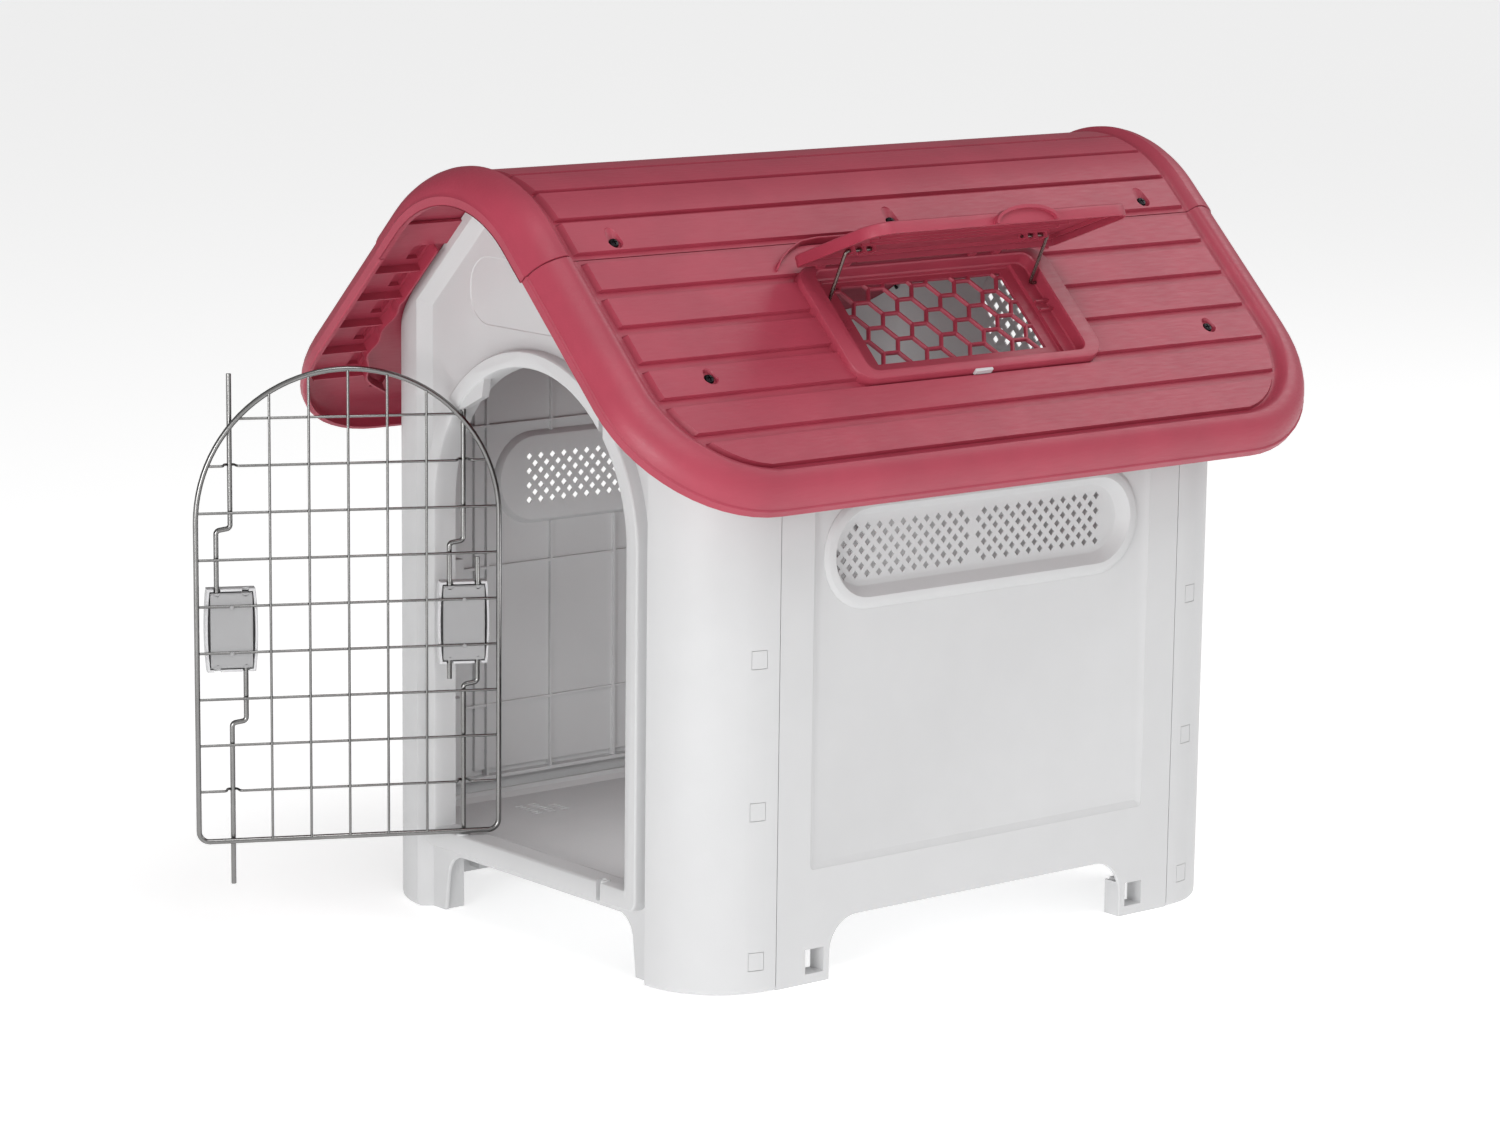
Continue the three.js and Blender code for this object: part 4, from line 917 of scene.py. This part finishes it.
def side_vent(wall):
    """A proud ring round a bowl, with a screen of holes at its bottom."""
    outline = lambda *size: lambda inset: stadium(VENT_Z, *size, inset)
    ring = [(0, HALF_X - 5), (0, HALF_X - 2.6), (2.6, HALF_X - 0.6), (4.2, HALF_X)]
    bowl = [(6.5, SCREEN_X - 1.2), (4.8, SCREEN_X - 0.9), (1.6, SCREEN_X + 2.5), (0, HALF_X - 3.5)]
    hollow = [(9.0, SCREEN_X), (7.6, SCREEN_X + 0.8), (1.6, HALF_X - 1.2), (0, HALF_X + 0.5)]
    join(wall, layers(outline(175.0, 46.8), ring, on_side))
    join(wall, layers(outline(170.5, 42.5), bowl, on_side))
    cut(wall, layers(outline(165.0, 37.5), hollow, on_side))
    cut(wall, *diamonds())


def side_feet(wall):
    """The gap between the feet with its returns, and a framed square window in each foot."""
    gap = lambda inset: foot_gap(164.0, 165.0, 29, inset)
    edge = [(0, HALF_X - 30), (0, HALF_X - 0.8), (-0.9, HALF_X + 0.2), (-0.9, HALF_X + 5)]
    cut(wall, layers(gap, edge, on_side))
    join(wall, block(on_side, -128, 128, FOOT_TOP - 0.2, FOOT_TOP + 2.8, HALF_X - 16, HALF_X - 2))
    for side in (-1, 1):
        join(wall, block(on_side, *span(side, 164.4, 166.6), 0, 30, HALF_X - 18, HALF_X - 1))
    for y in (-180.9, 180.9):
        join(wall, block(on_side, y - 12.2, y + 12.2, 5.0, 31.6, HALF_X - 17, HALF_X - 1))
        cut(wall, block(on_side, y - 9.8, y + 9.8, 8.0, 28.7, HALF_X - 30, HALF_X + 4))


def inside_ribs(wall):
    """Upright and level ribs on the inside face, broken round the vent."""
    low, high = FOOT_TOP + 34, 450
    for y in (-178.0, -107.5, -36.0, 36.0, 107.5, 178.0):
        for z0, z1 in ([(low, VENT_Z - 41), (VENT_Z + 41, high)] if abs(y) < 150 else [(low, high)]):
            join(wall, block(on_side, y - 1.2, y + 1.2, z0, z1, INSIDE_X - 6.5, INSIDE_X - 0.5))
    for z in (151.0, 275.5, 402.0):
        join(wall, block(on_side, -214, 214, z - 1.1, z + 1.1, INSIDE_X - 6.0, INSIDE_X - 0.5))
    join(wall, block(on_side, -214, 214, 84, 87, INSIDE_X - 9.0, INSIDE_X + 0.5))


def side_clips(wall):
    """Tongues that reach into the end panels, with buttons that show in their windows."""
    spots = [(side, z) for side in (-1, 1) for z in CLIP_Z]
    join(wall, *[block(on_side, *span(side, 208.0, CLIP_Y + 6.6), z - 11, z + 11,
                       HALF_X - 14.6, HALF_X - 10.6) for side, z in spots])
    join(wall, *[block(on_side, *span(side, 208.0, 217.0), z - 11, z + 11, HALF_X - 12, INSIDE_X + 0.6)
                 for side, z in spots])
    buttons = build("buttons", *[block(on_side, *span(side, CLIP_Y - 6.6, CLIP_Y + 6.6), z - 7.3, z + 7.3,
                                       HALF_X - 12, HALF_X + 4) for side, z in spots])
    # their faces follow the corner columns
    column = [(CORNER_R - 0.15, 0), (CORNER_R - 0.15, 500)]
    clip(buttons, *[disc((HALF_X - CORNER_R, side * (FRONT_Y - CORNER_R), -5), (0, 0, 1), column, 96)
                    for side in (-1, 1)])
    combine(wall, "UNION", buttons)


def side_wall(name):
    """A side wall between the end panels, cut to the roof's shape."""
    end = SEAM_Y - 0.8
    wall = build(name, block(on_side, -end, end, 0, 520, INSIDE_X, HALF_X))
    for near, far, out in ((214, 220, 2), (216, 229, 3.3)):
        join(wall, *[block(on_side, *span(side, near, far), 52, 440, HALF_X - 6, HALF_X - out)
                     for side in (-1, 1)])
    # a shallow sunk panel, carried through to the inside
    join(wall, block(on_side, -190, 190, 92, 480, INSIDE_X - 3.2, HALF_X - 1))
    sunk = lambda inset: rectangle(-187.5, 187.5, 95, 560, 4, inset, 3)
    cut(wall, layers(sunk, [(6, HALF_X - 3.2), (0.4, HALF_X - 0.3), (0, HALF_X + 4)], on_side))
    side_vent(wall)
    side_feet(wall)
    inside_ribs(wall)
    side_clips(wall)
    clip(wall, under_roof(WALL_TOP_N))
    return wall


def floor_tray():
    """A dished tray with three groups of short slots."""
    plan = lambda inset: rectangle(-223.5, 223.5, -275.5, 275.5, 64, inset, 12)
    tray = build("floor_tray_shell", layers(plan, [(0, 62), (0, 73.0), (0.8, 74)], flat))
    cut(tray, layers(plan, [(8, 66), (3.2, 70), (2.6, 78)], flat))
    slots = []
    for group, count in enumerate((4, 6, 6)):
        y = -146 - 14 * group
        for x in [-152 - 6.0 * k for k in range(count)]:
            slots.append(block(flat, x - 1.3, x + 1.3, y - 4.2, y + 4.2, 55, 72))
    cut(tray, *slots)
    return piece(tray, "house", "shell_grey", "floor_tray")


# ---- door
DOOR_MID = -DOOR_X
GRID_Y, WIRE_R, THIN_R, ROD_R = 5.8, 2.3, 1.15, 2.2
DOOR_RADIUS, DOOR_ARC_Z, DOOR_BOTTOM = 128.0, 352.0, 80.0
UPRIGHT_PITCH, CROSS_Z, CROSS_PITCH = 33.0, 123.0, 39.6
LATCH_Z, LANE = 260.5, 12.0
COLLAR_TO_TAIL, SPRING_SEAT, COIL_R, COIL_TURNS = 57, 28.9, 2.75, 9
RODS = {"upper": (477.0, 347.0, 228.0), "lower": (41.6, 180.5, 290.5)}  # heights of tip, jog and tail
PUSHED_IN = {"upper": -16.0, "lower": 26.0}  # how far the hinge side's rods stand in, to meet the panel


def door_frame():
    """The thick wire round the door, arched at the top."""
    bottom = rectangle(-DOOR_RADIUS, DOOR_RADIUS, DOOR_BOTTOM, 300, [9, 9, 0.1, 0.1], 0, 8)[:18]
    outline = bottom + arc(0, DOOR_ARC_Z, DOOR_RADIUS, 0, pi, 48)
    return tube([on_door(DOOR_MID + x, GRID_Y, z) for x, z in outline], WIRE_R, 16, closed=True)


def upright_wire(x):
    """A wire from the door's bottom to its arch."""
    y = GRID_Y + 1.5
    top = DOOR_ARC_Z + sqrt(DOOR_RADIUS ** 2 - x ** 2) - 1.2
    return rod(on_door(DOOR_MID + x, y, DOOR_BOTTOM + 1.0), on_door(DOOR_MID + x, y, top), THIN_R)


def cross_wire(row):
    """A level wire; the two that carry the rods loop round them."""
    y, z = GRID_Y - 0.8, CROSS_Z + CROSS_PITCH * row
    rise = max(z - DOOR_ARC_Z, 0.0)
    width = sqrt(DOOR_RADIUS ** 2 - rise ** 2) - 1.2
    points = [on_door(DOOR_MID - width, y, z)]
    if row in (0, 7):
        low = -ROD_R - THIN_R - 0.2
        for x in (0.0, 2 * DOOR_MID):
            points += [on_door(x - 6.2, y, z), on_door(x - 3.9, low, z), on_door(x + 3.9, low, z),
                       on_door(x + 6.2, y, z)]
    points.append(on_door(DOOR_MID + width, y, z))
    return tube(bent(points, 2.4), THIN_R, 12)


def door_grid():
    uprights = [upright_wire(UPRIGHT_PITCH * k) for k in range(-2, 3)]
    grid = build("door_wires", door_frame(), *uprights, *[cross_wire(row) for row in range(9)])
    return piece(grid, "door", "zinc_wire", "door_grid", angle=50)


def case_outline(inset):
    """A latch case from the front, its long sides slightly bowed."""
    half_x, half_z, bow = 20.4 - inset, 35.5 - inset, 1.9
    fractions = [-1 + 2 * k / 12 for k in range(13)]
    return [(sign * (half_x + bow * (1 - f * f)), LATCH_Z + sign * f * half_z)
            for sign in (1, -1) for f in fractions]


def latch_case(side_name, place):
    """The pale cover, notched where the rods pass."""
    case = build(side_name + "_latch_cover", layers(
        case_outline, [(2.6, -10.8), (0.9, -10.2), (0, -8.6), (0, 2.6), (0.5, 3.2)], place))
    inner = lambda inset: case_outline(inset + 2.2)
    cut(case, layers(inner, [(0, -8.4), (0, 8)], place))
    cut(case, *[block(place, x - 2.9, x + 2.9, *span(sign, 30, 38, LATCH_Z), -2.9, 6)
                for x in (-LANE, LANE) for sign in (-1, 1)])
    piece(case, "door", "pale_plastic", side_name + "_latch_case")


def latch_tray(side_name, place):
    """The grey plate that closes the case: a middle wall, two ends and a groove for each rod."""
    out = place(0, 0, 10) - place(0, 0, 0)
    plate = lambda inset: rectangle(-17.8, 17.8, LATCH_Z - 31.5, LATCH_Z + 31.5, 2.2, inset, 4)
    tray = build(side_name + "_latch_plate", layers(plate, [(0, 3.5), (0, 4.0), (0.4, 4.4)], place))
    cut(tray, *[disc(place(x, LATCH_Z + sign * 32.4, 0), out, [(3.4, 2), (3.4, 6)], 24)
                for x in (-LANE, LANE) for sign in (-1, 1)])
    join(tray, block(place, -4, 4, LATCH_Z - 27, LATCH_Z + 27, -7.8, 3.6))
    join(tray, *[block(place, -17.4, 17.4, *span(sign, 29.5, 32.0, LATCH_Z), -7.8, 3.6) for sign in (-1, 1)])
    cut(tray, *[block(place, x - 2.7, x + 2.7, LATCH_Z - 40, LATCH_Z + 40, -2.8, 3.45)
                for x in (-LANE, LANE)])
    # two small studs that fix the plate to the wires
    join(tray, *[disc(place(0, z, 4.2), out, [(1.7, 0), (1.7, 2.3), (1.1, 2.7)], 16)
                 for z in (LATCH_Z + 20.2, LATCH_Z - 19.4)])
    piece(tray, "door", "grey_plastic", side_name + "_latch_tray")


def latch_rod(name, place, lane, down, heights):
    """A rod that jogs from the door's edge to its lane in the case, with the collar its spring pushes."""
    tip, jog, tail = heights
    collar_z = tail - down * COLLAR_TO_TAIL
    points = [place(0, tip, 0), place(0, jog, 0), place(lane, jog + down * 2.0, 0), place(lane, tail, 0)]
    wire = build(name + "_rod_wire", tube(bent(points, 3.6, 7), ROD_R, 16))
    join(wire, disc(place(lane, collar_z - down * 0.3, 0), (0, 0, -down), [(3.1, 0), (3.1, 1.3)], 20))
    piece(wire, name + "_rod", "zinc_wire", name + "_rod", angle=50)
    return collar_z


def latch_spring(name, place, lane, rest_z, collar_z):
    """A coil between the case's end and the rod's collar."""
    steps = COIL_TURNS * 14
    coil = []
    for k in range(steps + 1):
        angle = 2 * pi * COIL_TURNS * k / steps
        z = rest_z + (collar_z - rest_z) * (0.02 + 0.96 * k / steps)
        coil.append(place(lane + COIL_R * cos(angle), z, COIL_R * sin(angle)))
    spring = build(name + "_coil", tube(coil, 0.42, 8))
    piece(spring, "door", "dark_steel", name + "_spring", angle=60)
    tuple(to_row(place(lane, rest_z, 0)))
    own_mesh(spring)


def latch(side_name, x0):
    """One latch: its case, tray, two rods and their springs, with the rods' outer line at x0."""
    place = lambda x, z, y: on_door(x0 + x, y, z)
    latch_case(side_name, place)
    latch_tray(side_name, place)
    for kind, down in (("upper", -1), ("lower", 1)):
        name = f"{side_name}_{kind}"
        lane = -down * LANE
        shift = PUSHED_IN[kind] if side_name == "hinge" else 0.0
        collar_z = latch_rod(name, place, lane, down, [z + shift for z in RODS[kind]])
        latch_spring(name, place, lane, LATCH_Z + down * SPRING_SEAT, collar_z)


# ---- assembly
piece(end_panel("front_panel_shell", True), "house", "shell_grey", "front_panel")
back = end_panel("back_source", False)
piece(turned(back, "back_panel_shell"), "house", "shell_grey", "back_panel")
bpy.data.objects.remove(back)
right = side_wall("side_wall_right_shell")
piece(turned(right, "side_wall_left_shell"), "house", "shell_grey", "side_wall_left")
piece(right, "house", "shell_grey", "side_wall_right")
floor_tray()

for side, side_name in ((-1, "left"), (1, "right")):
    panel = roof_panel(f"roof_panel_{side_name}_shell", side)
    if side > 0:
        add_skylight(panel)
    cut(panel, *[screw_well(plank_face(side), SCREW_S, y, -1, 1.5) for y in (-SCREW_Y, SCREW_Y)])
    piece(panel, "house", "roof_red", f"roof_panel_{side_name}")
piece(ridge_cap(), "house", "roof_red", "ridge_cap")

for side, side_name in ((1, "right"), (-1, "left")):
    for y, end in ((-CAP_SCREW_Y, "front"), (0, "middle"), (CAP_SCREW_Y, "back")):
        screw(on_cap, side * CAP_SCREW_T, y, f"cap_screw_{side_name}_{end}")
    for y, end in ((-SCREW_Y, "front"), (SCREW_Y, "back")):
        screw(plank_face(side), SCREW_S, y, f"slope_screw_{side_name}_{end}")

skylight_lid()
lid_prop("lid_prop_front", -1)
lid_prop("lid_prop_back", 1)
for y, end in zip(KNUCKLES, ("front", "back")):
    hinge_pin(f"lid_hinge_pin_{end}", y)
lid_catch()

door_grid()
latch("hinge", 0.0)
latch("free", 2 * DOOR_MID)


# ---- camera, light, floor
CAMERA_PLACE, CAMERA_LENS, CAMERA_SHIFT = (2902.2, -2457.7, 997.5), 106.6, (0.0197, 0.0406)
YAW, PITCH, ROLL = radians(50.84), radians(11.27), radians(0.63)


def house_camera():
    """The camera that took the photo, as worked out from the house's edges."""
    ahead = Vector((-sin(YAW) * cos(PITCH), cos(YAW) * cos(PITCH), -sin(PITCH)))
    right = Vector((cos(YAW), sin(YAW), 0))
    up = right.cross(ahead)
    right, up = cos(ROLL) * right + sin(ROLL) * up, cos(ROLL) * up - sin(ROLL) * right
    data = bpy.data.cameras.new("camera")
    data.lens = CAMERA_LENS
    data.shift_x, data.shift_y = CAMERA_SHIFT
    data.clip_end = 100
    camera = add_object("camera", data)
    turn = Matrix((right, up, -ahead)).transposed().to_4x4()
    camera.matrix_world = Matrix.Translation(to_row(CAMERA_PLACE)) @ turn
    bpy.context.scene.camera = camera


def area_light(name, place, target, size, power):
    """A round lamp, unseen by the camera."""
    data = bpy.data.lights.new(name, "AREA")
    data.shape = "DISK"
    data.size = size
    data.energy = power
    light = add_object(name, data)
    light.location = place
    light.rotation_euler = (Vector(target) - Vector(place)).to_track_quat("-Z", "Y").to_euler()
    light.visible_camera = False


house_camera()
area_light("key", (1.9, -0.5, 3.6), (0, 0, 0.4), 2.0, 36)
area_light("back", (0.6, 3.2, 2.9), (0, 0, 0.6), 2.5, 34)
area_light("fill", (1.6, -3.3, 0.6), (0, 0, 0.35), 1.6, 56)
area_light("cabin", to_row((90, -150, 270)), to_row((-200, -60, 0)), 0.2, 0.4)


def studio_world():
    """White all round, dimmer from the upper left; the backdrop the camera sees stays white."""
    made = bpy.data.worlds.new("studio")
    made.use_nodes = True
    tree = made.node_tree
    shade = tree.nodes["Background"]
    shade.inputs["Color"].default_value = (1, 1, 1, 1)
    backdrop = add_node(tree, "Background", {"Color": (1, 1, 1, 1), "Strength": 1.0})
    place = tree.nodes.new("ShaderNodeTexCoord")
    toward = tree.nodes.new("ShaderNodeVectorMath")
    toward.operation = "DOT_PRODUCT"
    toward.inputs[1].default_value = (0.9, 0, -0.25)
    fade = add_node(tree, "MapRange", {"From Min": -1, "To Min": 0.1, "To Max": 0.8})
    path = tree.nodes.new("ShaderNodeLightPath")
    mix = tree.nodes.new("ShaderNodeMixShader")
    for output, target in (
            (place.outputs["Generated"], toward.inputs[0]),
            (toward.outputs["Value"], fade.inputs["Value"]),
            (fade.outputs["Result"], shade.inputs["Strength"]),
            (path.outputs["Is Camera Ray"], mix.inputs["Fac"]),
            (shade.outputs["Background"], mix.inputs[1]),
            (backdrop.outputs["Background"], mix.inputs[2]),
            (mix.outputs["Shader"], tree.nodes["World Output"].inputs["Surface"])):
        tree.links.new(output, target)
    return made


def studio_floor():
    """A wide white floor with a little light of its own, to stay pale up to the horizon."""
    bpy.ops.mesh.primitive_plane_add(size=60, location=(0, 0, -0.0005))
    ground = bpy.context.object
    ground.name = "ground"
    made = material("ground", (0.92, 0.92, 0.92), 0.8, grain=0, mottle=0)
    shader = made.node_tree.nodes["Principled BSDF"]
    shader.inputs["Emission Color"].default_value = (1, 1, 1, 1)
    shader.inputs["Emission Strength"].default_value = 0.5
    ground.data.materials.append(made)


bpy.context.scene.world = studio_world()
bpy.context.scene.view_settings.view_transform = "Standard"
studio_floor()
